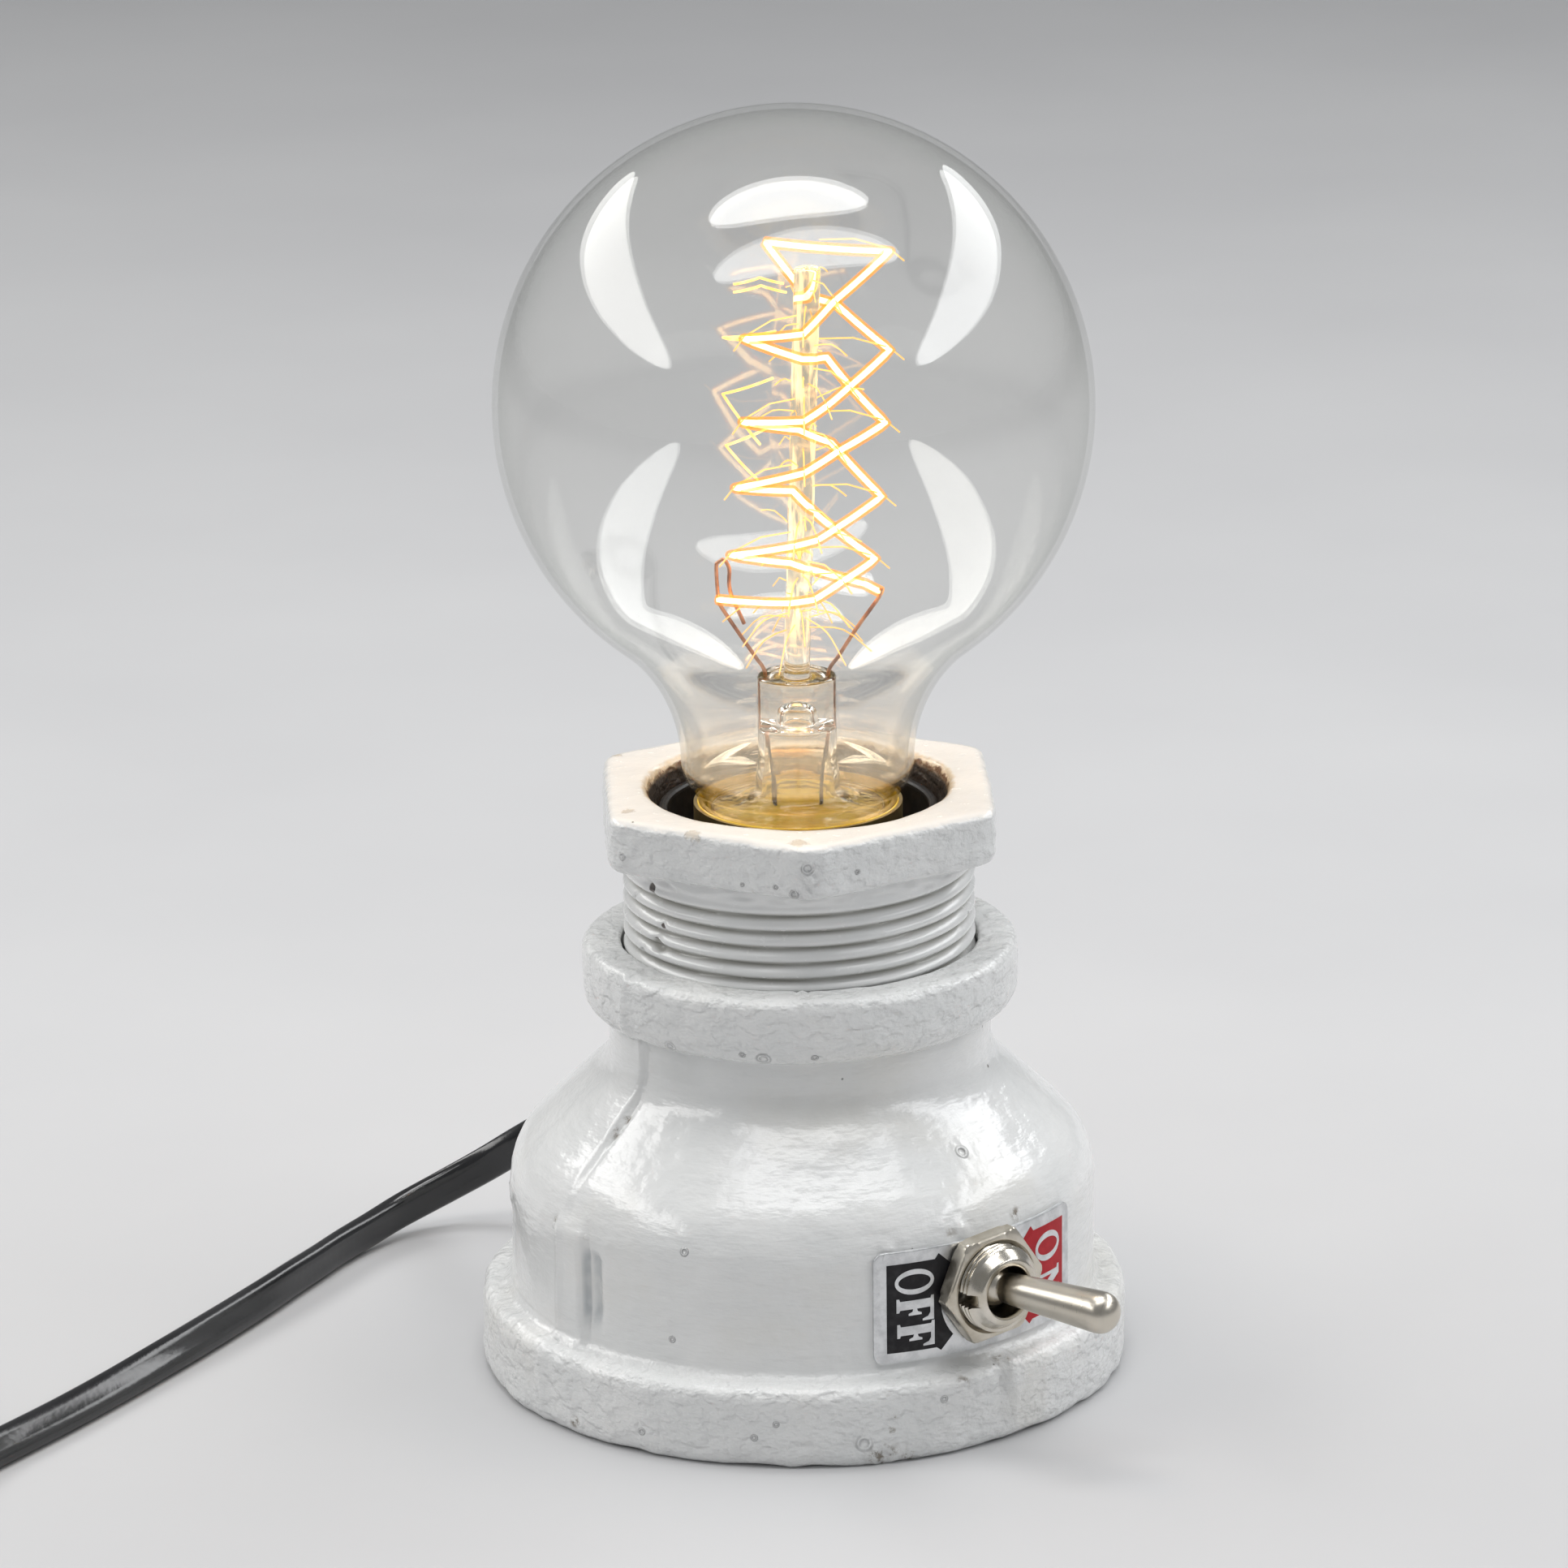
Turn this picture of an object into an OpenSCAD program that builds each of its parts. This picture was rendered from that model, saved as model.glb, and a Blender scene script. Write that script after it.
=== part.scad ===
// Industrial pipe table lamp: a bell reducer stands on its wide end, a hex bushing is screwed
// into its narrow end and holds a screw lampholder with a clear globe lamp. A toggle switch with
// a legend plate is let into the front, and a flat two-core cord leaves the back.
// Millimetres, +Z up. The origin is the centre of the reducer's lower face, on the table.
// The switch faces -Y, the cord leaves along +Y and the casting's parting line lies at +X and -X.

/* [Bell reducer] */
// Radius of the wide band round the foot
foot_r = 44.2; // [42:0.1:47]
// Height of the foot band
foot_h = 11; // [9:0.5:12]
// Outer radius of the body above the foot band
body_r = 40; // [39:0.1:41.5]
// Height at which the body starts to turn in to the shoulder
body_top_z = 27.5; // [26:0.5:33]
// Outer radius of the neck
neck_r = 26; // [25.6:0.1:27.5]
// Height of the neck's foot, where the shoulder runs out
neck_z = 45.5; // [44:0.5:49]
// Outer radius of the band round the upper mouth
collar_r = 29.2; // [28:0.1:32]
// Height of the band round the upper mouth
collar_h = 8.5; // [7:0.5:9]
// Height of the whole reducer
reducer_h = 60; // [59:0.5:66]
// Radius of the plain bore that stands for the lower pipe thread
foot_bore_r = 35; // [33.5:0.1:36]
// Depth of the lower pipe thread
foot_bore_depth = 12; // [10:0.5:12.5]
// Thickness of the cast wall
cast_wall = 4.4; // [4:0.1:4.8]
// Width of the casting rib beside the parting line
rib_w = 10.5; // [6:0.5:14]
// How far the casting rib stands out of the body
rib_proud = 0.9; // [0.4:0.1:1.5]

/* [Hex bushing] */
// Crest radius of the bushing's pipe thread
pipe_thread_r = 24; // [23.5:0.05:24.3]
// Pitch of the pipe thread, 11.5 threads to the inch
pipe_pitch = 2.209; // [2:0.001:2.4]
// Depth of the painted pipe thread
pipe_thread_depth = 1; // [0.6:0.1:1.3]
// Length of thread that shows above the reducer
thread_shown = 14; // [10:0.5:18]
// Length of thread screwed into the reducer
thread_hidden = 9; // [7:0.5:12]
// Width of the hexagon across its flats
hex_af = 52; // [50.5:0.1:54]
// Height of the hexagon
hex_h = 7.4; // [6:0.1:9]
// Turn of the hexagon about the lamp's axis, in degrees
hex_turn = 55.7; // [0:0.1:60]
// Radius of the bushing's bore
bushing_bore_r = 20; // [19.9:0.05:20.5]

/* [Lampholder] */
// Outer radius of the phenolic lampholder
holder_r = 19; // [18.6:0.1:19.2]
// Depth of the lampholder's rim below the top of the hexagon
rim_drop = 2.9; // [2:0.1:5]
// Wall of the skirt's open rim
rim_wall = 1.4; // [1.2:0.1:2]
// Depth of the open well above the screw shell
well_depth = 6.5; // [5.5:0.5:8]
// Wall of the skirt lower down
skirt_wall = 3; // [2.5:0.1:3.2]
// Wall of the brass screw shell at its thinnest
shell_wall = 0.5; // [0.4:0.05:0.7]
// Radial clearance between the lamp cap's thread and the screw shell
cap_clear = 0.3; // [0.2:0.05:0.4]

/* [Lamp] */
// Radius of the glass globe
globe_r = 40; // [38:0.5:42]
// Height of the globe's centre above the lamp cap's contact
globe_above_contact = 81.1; // [79:0.1:84]
// Radius of the glass neck
glass_neck_r = 15.7; // [15.2:0.1:16.5]
// Thickness of the glass
glass_wall = 0.8; // [0.5:0.1:1.2]
// Mean radius of the lamp cap's screw thread
cap_r = 12.75; // [12.5:0.05:12.8]
// Half the height of the screw thread's rounded ridges
edison_wave = 0.35; // [0.25:0.05:0.4]
// Pitch of the lamp's screw thread, 7 threads to the inch
edison_pitch = 3.629; // [3.5:0.001:3.75]
// Radius of the circle that the filament's corners lie on
filament_r = 11; // [8:0.5:13]
// Number of filament turns
filament_turns = 5; // [3:1:6]
// Rise of the filament in each turn
filament_pitch = 9.4; // [7:0.1:9.6]
// Turn of the filament's corners about the lamp's axis, in degrees
filament_turn = -36.5; // [-90:0.5:90]
// Radius of the filament as the eye sees it
filament_wire_r = 0.3; // [0.2:0.05:0.4]

/* [Toggle switch] */
// Height of the switch's axis above the table
switch_z = 21.8; // [21.2:0.1:23]
// Radius of the switch's threaded bushing
sw_thread_r = 5.9; // [5.7:0.05:6]
// How far the threaded bushing stands out of the body
sw_proud = 5.7; // [5.2:0.1:8]
// Width of the hexagon nut across its flats
nut_af = 14.3; // [13.6:0.1:15]
// Thickness of the hexagon nut
nut_h = 2.3; // [1.8:0.1:2.4]
// Thickness of the nut behind the wall
back_nut_h = 1.6; // [1.4:0.1:1.8]
// Length of the bat from its pivot to the centre of its round end
bat_len = 19; // [15:0.5:24]
// Radius of the bat's round end
bat_tip_r = 2.95; // [2.5:0.05:3.2]
// Tilt of the bat to either side, in degrees
bat_tilt = 15.5; // [10:0.5:16]
// Tilt of the rocking contact to either side, in degrees
rocker_tilt = 10; // [7:0.5:10.5]
// Width of the switch case, along X
case_w = 26; // [25:0.5:28]
// Height of the switch case, along Z
case_h = 14; // [13:0.5:14.4]
// Depth of the switch case, along Y
case_d = 15; // [14.5:0.5:17]
// Length of the legend plate round the body
plate_len = 34.3; // [26:0.1:42]
// Height of the legend plate
plate_h = 15.7; // [15:0.1:17]
// How far the middle of the legend plate lies below the switch's axis
plate_drop = 1.3; // [0:0.1:1.6]
// How far the middle of the legend plate lies to the right of the switch's axis
plate_shift = 0.5; // [-1:0.1:1]
// Thickness of the legend plate
plate_t = 0.5; // [0.3:0.1:0.8]

/* [Cord and plug] */
// Width of the flat cord
cord_w = 5.2; // [4.8:0.1:5.4]
// Thickness of the flat cord
cord_t = 2.7; // [2.4:0.1:2.8]
// Height of the cord's hole above the table
cord_z = 19; // [18.5:0.5:20]
// Radius of the cord's hole
cord_hole_r = 5; // [4.6:0.1:5.5]
// Radius of one insulated core
core_r = 1.1; // [0.9:0.05:1.2]
// Outer radius of the stored coil, to the middle of the cord
coil_r = 36; // [35.8:0.1:38]
// Distance between neighbouring turns of the coil
coil_pitch = 3.3; // [3.2:0.05:3.4]
// Number of turns in the coil, over both layers
coil_turns = 8.5; // [6.5:1:8.5]
// Width of the plug's body
plug_w = 24; // [22:0.5:28]
// Length of the plug's body
plug_len = 30; // [26:0.5:36]
// Thickness of the plug's body
plug_t = 13; // [12:0.5:14]

/* [Hidden] */
$fn = 64;
eps = 0.01;

// Colours
white_paint = [0.9, 0.9, 0.9];
phenolic = [0.06, 0.05, 0.05];
brass = [0.78, 0.62, 0.3];
nickel = [0.75, 0.73, 0.7];
steel = [0.6, 0.6, 0.6];
clear_glass = [0.85, 0.9, 0.9, 0.35];
copper = [0.75, 0.4, 0.25];
black_pvc = [0.08, 0.08, 0.08];

// Heights along the lamp's axis, from the table up
hex_z = reducer_h + thread_shown;
top_z = hex_z + hex_h;
rim_z = top_z - rim_drop;
skirt_len = 28;
core_h = 4;
core_top_z = rim_z - skirt_len;
core_z = core_top_z - core_h;
tongue_t = 0.6;
tongue_rise = 1.8;
contact_gap = 0.3;
contact_z = core_top_z + tongue_rise + contact_gap;
globe_z = contact_z + globe_above_contact;

// A round stretch of an outline
function arc(cx, cy, r, a0, a1, n = 6) =
    [for (i = [0:n]) let (a = a0 + (a1 - a0) * i / n) [cx + r * cos(a), cy + r * sin(a)]];

// Sweeps one section along a path. Each path entry is [x, y, z, roll]; roll turns the section
// about the path, and 0 keeps the section's first axis level.
function unit(v) = v / norm(v);
function place(p) = [p.x, p.y, p.z];
function along(path, k, first, last) =
    k == 0 ? first : k == len(path) - 1 ? last : unit(place(path[k + 1]) - place(path[k - 1]));
function ring(p, dir, section, up) =
    let (side = unit(cross(dir, up)), rise = cross(side, dir), c = cos(p[3]), s = sin(p[3]))
    [for (q = section) place(p) + (q.x * c - q.y * s) * side + (q.x * s + q.y * c) * rise];
function tube_rings(path, section, up, first, last) =
    [for (k = [0:len(path) - 1]) ring(path[k], along(path, k, first, last), section, up)];
function tube_faces(n, m) = concat(
    [for (i = [1:n - 2]) [0, i + 1, i]],
    [for (k = [0:m - 2], i = [0:n - 1]) let (j = (i + 1) % n) [k * n + i, k * n + j, (k + 1) * n + j]],
    [for (k = [0:m - 2], i = [0:n - 1]) let (j = (i + 1) % n)
        [k * n + i, (k + 1) * n + j, (k + 1) * n + i]],
    [for (i = [1:n - 2]) [(m - 1) * n, (m - 1) * n + i, (m - 1) * n + i + 1]]);
module tube(path, section, up = [0, 0, 1], first = undef, last = undef) {
    n = len(path);
    from = is_undef(first) ? unit(place(path[1]) - place(path[0])) : first;
    to = is_undef(last) ? unit(place(path[n - 1]) - place(path[n - 2])) : last;
    rings = tube_rings(path, section, up, from, to);
    polyhedron([for (r = rings) each r], tube_faces(len(section), n), convexity = 10);
}
function round_section(r, n) = [for (i = [0:n - 1]) [r * cos(360 * i / n), r * sin(360 * i / n)]];

// ---- Bell reducer ----
bore_r = body_r - cast_wall;
neck_bore_r = 21.5;
shoulder_r = 10;
shoulder_turn = 49.5;
shoulder_end = [body_r - shoulder_r * (1 - cos(shoulder_turn)),
    body_top_z + shoulder_r * sin(shoulder_turn)];
neck_fillet = 3;
foot_round = 2;
foot_fillet = 1.6;
foot_edge = 0.3;
lip_round = 1.2;
collar_z = reducer_h - collar_h;
mouth_r = pipe_thread_r + 0.1;
neck_thread_z = reducer_h - thread_hidden - 3;
inner_shoulder_z = shoulder_end.y - cast_wall;
switch_hole_r = sw_thread_r + 0.25;

module reducer_wall() {
    rotate_extrude()
        polygon(concat(
            [[foot_bore_r, foot_edge], [foot_bore_r + foot_edge, 0]],
            arc(foot_r - foot_round, foot_round, foot_round, -90, 0),
            arc(foot_r - foot_round, foot_h - foot_round, foot_round, 0, 90),
            arc(body_r + foot_fillet, foot_h + foot_fillet, foot_fillet, -90, -180),
            arc(body_r - shoulder_r, body_top_z, shoulder_r, 0, shoulder_turn),
            arc(neck_r + neck_fillet, neck_z, neck_fillet, 180 + shoulder_turn, 180),
            arc(neck_r + lip_round, collar_z - lip_round, lip_round, 180, 90),
            arc(collar_r - lip_round, collar_z + lip_round, lip_round, -90, 0),
            arc(collar_r - lip_round, reducer_h - lip_round, lip_round, 0, 90),
            [[mouth_r + 0.8, reducer_h], [mouth_r, reducer_h - 0.8], [mouth_r, neck_thread_z],
            [neck_bore_r, neck_thread_z - 1], [neck_bore_r, neck_z - cast_wall],
            [bore_r, inner_shoulder_z], [bore_r, foot_bore_depth + 1],
            [foot_bore_r, foot_bore_depth]]));
}

// A flat raised strip beside the parting line, on the forward side of it
module casting_rib(side) {
    rib_low = foot_h - foot_round;
    rib_high = body_top_z + 1;
    intersection() {
        translate([side > 0 ? body_r - 3 : -body_r - rib_proud, -rib_w, rib_low])
            cube([3 + rib_proud, rib_w, rib_high - rib_low]);
        cylinder(r = body_r + rib_proud, h = reducer_h);
    }
}

module reducer() {
    color(white_paint)
    difference() {
        union() {
            reducer_wall();
            for (side = [-1, 1])
                casting_rib(side);
        }
        translate([0, -bore_r + 3, switch_z])
            rotate([90, 0, 0])
                cylinder(r = switch_hole_r, h = cast_wall + 6);
        translate([0, bore_r - 3, cord_z])
            rotate([-90, 0, 0])
                cylinder(r = cord_hole_r, h = cast_wall + 6);
    }
}

// ---- Hex bushing ----
pipe_root_r = pipe_thread_r - pipe_thread_depth;
thread_low = reducer_h - thread_hidden;
thread_crests = floor((hex_z - 1.2 - thread_low) / pipe_pitch);
hex_corner_r = hex_af / 2 / cos(30);
hex_cut = 0.6;
hex_bevel = 1.2;

module hex_bushing() {
    color(white_paint)
    difference() {
        union() {
            rotate_extrude()
                polygon(concat(
                    [[bushing_bore_r - 2, thread_low - 1], [pipe_root_r, thread_low - 1]],
                    [for (k = [0:thread_crests - 1]) each [
                        [pipe_root_r, thread_low + k * pipe_pitch],
                        [pipe_thread_r, thread_low + (k + 0.32) * pipe_pitch],
                        [pipe_thread_r, thread_low + (k + 0.62) * pipe_pitch]]],
                    [[pipe_root_r, thread_low + thread_crests * pipe_pitch],
                    [pipe_root_r, hex_z + 1], [bushing_bore_r - 2, hex_z + 1]]));
            intersection() {
                translate([0, 0, hex_z])
                    rotate([0, 0, hex_turn])
                        cylinder(r = hex_corner_r, h = hex_h, $fn = 6);
                rotate_extrude()
                    polygon([[0, hex_z], [hex_corner_r - hex_cut - 2, hex_z],
                        [hex_corner_r - hex_cut, hex_z + hex_bevel],
                        [hex_corner_r - hex_cut, top_z - hex_bevel],
                        [hex_corner_r - hex_cut - 2, top_z], [0, top_z]]);
            }
        }
        translate([0, 0, thread_low - 2])
            cylinder(r = bushing_bore_r, h = top_z);
        translate([0, 0, top_z - 0.8])
            cylinder(r1 = bushing_bore_r, r2 = bushing_bore_r + 1, h = 0.8 + eps);
    }
}

// ---- Lampholder ----
skirt_lap = 5;
lap_gap = 0.15;
skirt_bore_r = holder_r - skirt_wall;
lap_r = holder_r - 1.6;
holder_wall = 2.2;
core_r_out = skirt_bore_r - 0.8;
cap_ledge = 1.4;
entry_r = 5.5;
holder_cap_len = 15.5;
holder_low_z = core_z - holder_cap_len;
shell_bore_r = cap_r + edison_wave + cap_clear;
shell_bead = 0.3;
shell_out_r = shell_bore_r + shell_wall + shell_bead;
shell_len = skirt_len - well_depth - 1;
screw_x = 9.2;
screw_head_r = 2.6;
screw_r = 1.4;
screw_head_h = 1.8;

module holder_skirt() {
    ledge_r = shell_out_r + 0.3;
    ledge_z = rim_z - well_depth;
    mouth = holder_r - rim_wall;
    lip = rim_wall / 2;
    color(phenolic)
    rotate_extrude()
        polygon(concat(
            [[skirt_bore_r, core_top_z + skirt_lap + lap_gap], [lap_r, core_top_z + skirt_lap + lap_gap],
            [lap_r, core_top_z + lap_gap], [holder_r, core_top_z + lap_gap]],
            arc(holder_r - lip, rim_z - lip, lip, 0, 180),
            [[mouth, ledge_z + 1], [mouth - 1, ledge_z], [ledge_r, ledge_z], [ledge_r, ledge_z - 2],
            [skirt_bore_r, ledge_z - 3]]));
}

module holder_cap() {
    color(phenolic)
    rotate_extrude()
        polygon([[entry_r, holder_low_z], [entry_r + holder_wall + 1, holder_low_z],
            [entry_r + holder_wall + 3, holder_low_z + 1.5], [holder_r, core_z - 3],
            [holder_r, core_top_z], [lap_r - lap_gap, core_top_z],
            [lap_r - lap_gap, core_top_z + skirt_lap], [core_r_out + 0.1, core_top_z + skirt_lap],
            [core_r_out + 0.1, core_z - lap_gap], [core_r_out - cap_ledge, core_z - lap_gap],
            [core_r_out - cap_ledge, core_z - 3], [entry_r + 0.5, holder_low_z + 3.5],
            [entry_r, holder_low_z + 3]]);
}

module holder_core() {
    color([0.85, 0.83, 0.78])
    difference() {
        translate([0, 0, core_z])
            cylinder(r = core_r_out, h = core_h);
        for (side = [-1, 1])
            translate([side * screw_x, 0, core_z - 1])
                cylinder(r = screw_r + 0.05, h = core_h + 2);
        translate([0, 5, core_z - 1])
            cylinder(r = 1.5, h = core_h + 2);
    }
}

// Rounded ridges, one a pitch, from radius root to radius crest on a turned outline
function ridges(root, crest, low, count) =
    [for (k = [0:count - 1]) each [
        [root, low + k * edison_pitch], [root, low + (k + 0.12) * edison_pitch],
        [crest, low + (k + 0.38) * edison_pitch], [crest, low + (k + 0.62) * edison_pitch],
        [root, low + (k + 0.88) * edison_pitch]]];

module screw_shell() {
    base_t = 0.6;
    base_hole_r = 11;
    ridge_low = 2;
    ridge_count = floor((shell_len - ridge_low) / edison_pitch);
    color(brass)
    rotate_extrude()
        polygon(concat(
            [[base_hole_r, core_top_z], [shell_out_r - shell_bead, core_top_z]],
            ridges(shell_out_r - shell_bead, shell_out_r, core_top_z + ridge_low, ridge_count),
            [[shell_out_r - shell_bead, core_top_z + shell_len],
            [shell_bore_r, core_top_z + shell_len], [shell_bore_r, core_top_z + base_t],
            [base_hole_r, core_top_z + base_t]]));
}

module holder_contact() {
    tongue_w = 5;
    tongue_x = 9.4;
    color(brass)
    union() {
        translate([-tongue_x, -tongue_w / 2, core_top_z + tongue_rise - tongue_t])
            cube([tongue_x + 3, tongue_w, tongue_t]);
        translate([-tongue_x, -tongue_w / 2, core_top_z])
            cube([3, tongue_w, tongue_rise]);
    }
}

module holder_screws() {
    color(brass)
    for (side = [-1, 1])
        translate([side * screw_x, 0, 0])
            difference() {
                union() {
                    translate([0, 0, core_z - screw_head_h])
                        cylinder(r = screw_head_r, h = screw_head_h);
                    translate([0, 0, core_z - eps])
                        cylinder(r = screw_r, h = core_h);
                }
                translate([-0.4, -screw_head_r - 1, core_z - screw_head_h - eps])
                    cube([0.8, 2 * screw_head_r + 2, 0.8]);
            }
}

module holder_adhesive() {
    bead_h = 10;
    bead_gap = 0.05;
    color([0.85, 0.85, 0.82])
    translate([0, 0, top_z - 4 - bead_h - rim_drop])
        difference() {
            cylinder(r = bushing_bore_r - bead_gap, h = bead_h);
            translate([0, 0, -1])
                cylinder(r = holder_r + bead_gap, h = bead_h + 2);
        }
}

// ---- Lamp ----
cap_len = 26.4;
cap_rim_z = contact_z + cap_len;
cap_rim_r = 14.1;
collar_in_r = cap_r - edison_wave - 0.1;
glass_foot_r = 13.4;
neck_foot_z = cap_rim_z + 5.5;
blend_r = 22;
blend_x = glass_neck_r + blend_r;
blend_dz = sqrt((globe_r + blend_r) * (globe_r + blend_r) - blend_x * blend_x);
blend_z = globe_z - blend_dz;
blend_turn = atan2(blend_dz, blend_x);
stem_tube_r = 5.3;
stem_top_z = cap_rim_z + 17.6;
rod_r = 1.75;
filament_above_stem = 10.5;
filament_low_z = stem_top_z + filament_above_stem;
filament_above_rod = 2.1;
rod_top_z = filament_low_z + filament_turns * filament_pitch - filament_above_rod;

// The outline of the glass, drawn in by t for its inner face
function glass_outline(t) = concat(
    [[glass_foot_r - t, cap_rim_z - 3], [glass_foot_r - t, cap_rim_z + 0.2]],
    arc(glass_neck_r - 4.5, neck_foot_z, 4.5 - t, -50, 0, 5),
    arc(blend_x, blend_z, blend_r + t, 180, 180 - blend_turn, 6),
    arc(0, globe_z, globe_r - t, -blend_turn, 90, 20));

module glass_globe() {
    inner = glass_outline(glass_wall);
    color(clear_glass)
    rotate_extrude()
        polygon(concat(glass_outline(0), [for (i = [len(inner) - 1:-1:0]) inner[i]]));
}

cap_wall = 0.35;
foot_gap = 0.25;
module lamp_cap() {
    thread_low_z = contact_z + 4.6;
    ridge_count = 4;
    tip_r = 9.2;
    color(nickel)
    rotate_extrude()
        polygon(concat(
            [[tip_r, thread_low_z - 1.5], [tip_r + 0.8, thread_low_z - 1.5]],
            ridges(collar_in_r, cap_r + edison_wave, thread_low_z, ridge_count),
            [[collar_in_r, cap_rim_z - 4.8], [cap_rim_r, cap_rim_z - 3.6], [cap_rim_r, cap_rim_z],
            [glass_foot_r + foot_gap, cap_rim_z], [glass_foot_r + foot_gap, cap_rim_z - 3.2],
            [collar_in_r - cap_wall, cap_rim_z - 4.4], [collar_in_r - cap_wall, thread_low_z],
            [tip_r, thread_low_z]]));
}

module cap_insulator() {
    color([0.1, 0.08, 0.12])
    rotate_extrude()
        polygon([[1, contact_z + 0.9], [4.6, contact_z + 0.9], [9.15, contact_z + 3],
            [9.15, contact_z + 4.4], [1, contact_z + 4.4]]);
}

module cap_contact() {
    color([0.7, 0.7, 0.68])
    rotate_extrude()
        polygon([[0, contact_z], [3, contact_z], [4.5, contact_z + 0.6], [4.5, contact_z + 0.85],
            [0.9, contact_z + 0.85], [0.9, contact_z + 5], [0, contact_z + 5]]);
}

// The cement fills the cap below the glass and the narrow gap round the glass foot
module cap_cement() {
    bed_low_z = cap_rim_z - 9;
    bed_top_z = cap_rim_z - 4.4;
    seat = 0.05;
    color([0.8, 0.6, 0.2])
    rotate_extrude() {
        polygon([[7, bed_low_z], [collar_in_r - cap_wall - seat, bed_low_z],
            [collar_in_r - cap_wall - seat, bed_top_z], [7, bed_top_z]]);
        translate([glass_foot_r + seat, cap_rim_z - 2])
            square([foot_gap - 2 * seat, 2]);
    }
}

module glass_stem() {
    flare_r = glass_foot_r - glass_wall - 0.15;
    flare_turn = 8;
    color(clear_glass)
    union() {
        rotate_extrude()
            polygon(concat(
                [[flare_r, cap_rim_z - 2.6], [flare_r, cap_rim_z - 1.9]],
                arc(stem_tube_r + flare_turn, cap_rim_z + 6.5, flare_turn, 235, 180, 8),
                [[stem_tube_r, stem_top_z - 1], [stem_tube_r - 1, stem_top_z], [0, stem_top_z],
                [0, stem_top_z - 6], [stem_tube_r - 0.9, stem_top_z - 7]],
                arc(stem_tube_r + flare_turn, cap_rim_z + 6.5, flare_turn + 0.9, 180, 232, 8)));
        translate([0, 0, stem_top_z - 1])
            cylinder(r = rod_r, h = rod_top_z - stem_top_z + 1);
        translate([0, 0, rod_top_z])
            sphere(r = rod_r);
    }
}

// Leads: up through the cement and the stem, then out to the filament's ends
lead_x = 3.6;
lead_wire_r = 0.35;
function corner(k) =
    let (a = filament_turn + 90 * k)
    [filament_r * cos(a), filament_r * sin(a), filament_low_z + filament_pitch * k / 4];
last_corner = 4 * filament_turns;

module wire(a, b, r) {
    d = b - a;
    translate(a)
        rotate([0, acos(d.z / norm(d)), atan2(d.y, d.x)])
            cylinder(r = r, h = norm(d));
}

module stem_wires() {
    press_gap = 0.3;
    near = corner(0);
    far = corner(2);
    lead = lead_x * [cos(filament_turn), sin(filament_turn)];
    color(copper)
    for (side = [-1, 1])
        rotate([0, 0, filament_turn])
            translate([side * lead_x, 0, cap_rim_z - 8])
                cylinder(r = lead_wire_r, h = stem_top_z - cap_rim_z + 0.5);
    color(nickel)
    union() {
        wire([lead.x, lead.y, stem_top_z + press_gap], [near.x * 0.97, near.y * 0.97, near.z - 0.5],
            lead_wire_r);
        wire([-lead.x, -lead.y, stem_top_z + press_gap], [far.x * 0.95, far.y * 0.95, far.z - 5],
            lead_wire_r);
    }
}

module filament_supports() {
    hook_r = 0.18;
    color(nickel)
    for (k = [1:last_corner - 1])
        wire([corner(k).x * 0.17, corner(k).y * 0.17, corner(k).z],
            [corner(k).x * 0.95, corner(k).y * 0.95, corner(k).z], hook_r);
}

module filament() {
    color([1, 0.6, 0.15])
    tube([for (k = [0:last_corner]) [corner(k).x, corner(k).y, corner(k).z, 0]],
        round_section(filament_wire_r, 6));
}

// ---- Toggle switch ----
sw_front_y = -body_r - sw_proud;
pivot_y = sw_front_y + 4.7;
washer_r = 7.9;
washer_t = 0.6;
washer_y = -sqrt(bore_r * bore_r - washer_r * washer_r);
back_nut_y = washer_y + washer_t;
frame_t = 0.9;
frame_y = back_nut_y + back_nut_h;
case_y = frame_y + frame_t;
case_back_y = case_y + case_d;
sw_bore_r = 3.7;
ball_r = 3.35;
case_wall = 1.5;
rocker_y = case_back_y - 7;
rocker_len = 18;
rocker_t = 0.8;
rocker_w = 4;
lug_w = 3;
lug_t = 0.8;
lug_len = 7;
lug_x = 8.5;
arm_r = 1.5;
plunger_r = 1;

module along_switch() {
    translate([0, 0, switch_z])
        children();
}
// Stands a shape that was drawn along +Z on the switch's axis, reaching outwards from y
module out_from(y) {
    along_switch()
        translate([0, y, 0])
            rotate([90, 0, 0])
                children();
}

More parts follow.
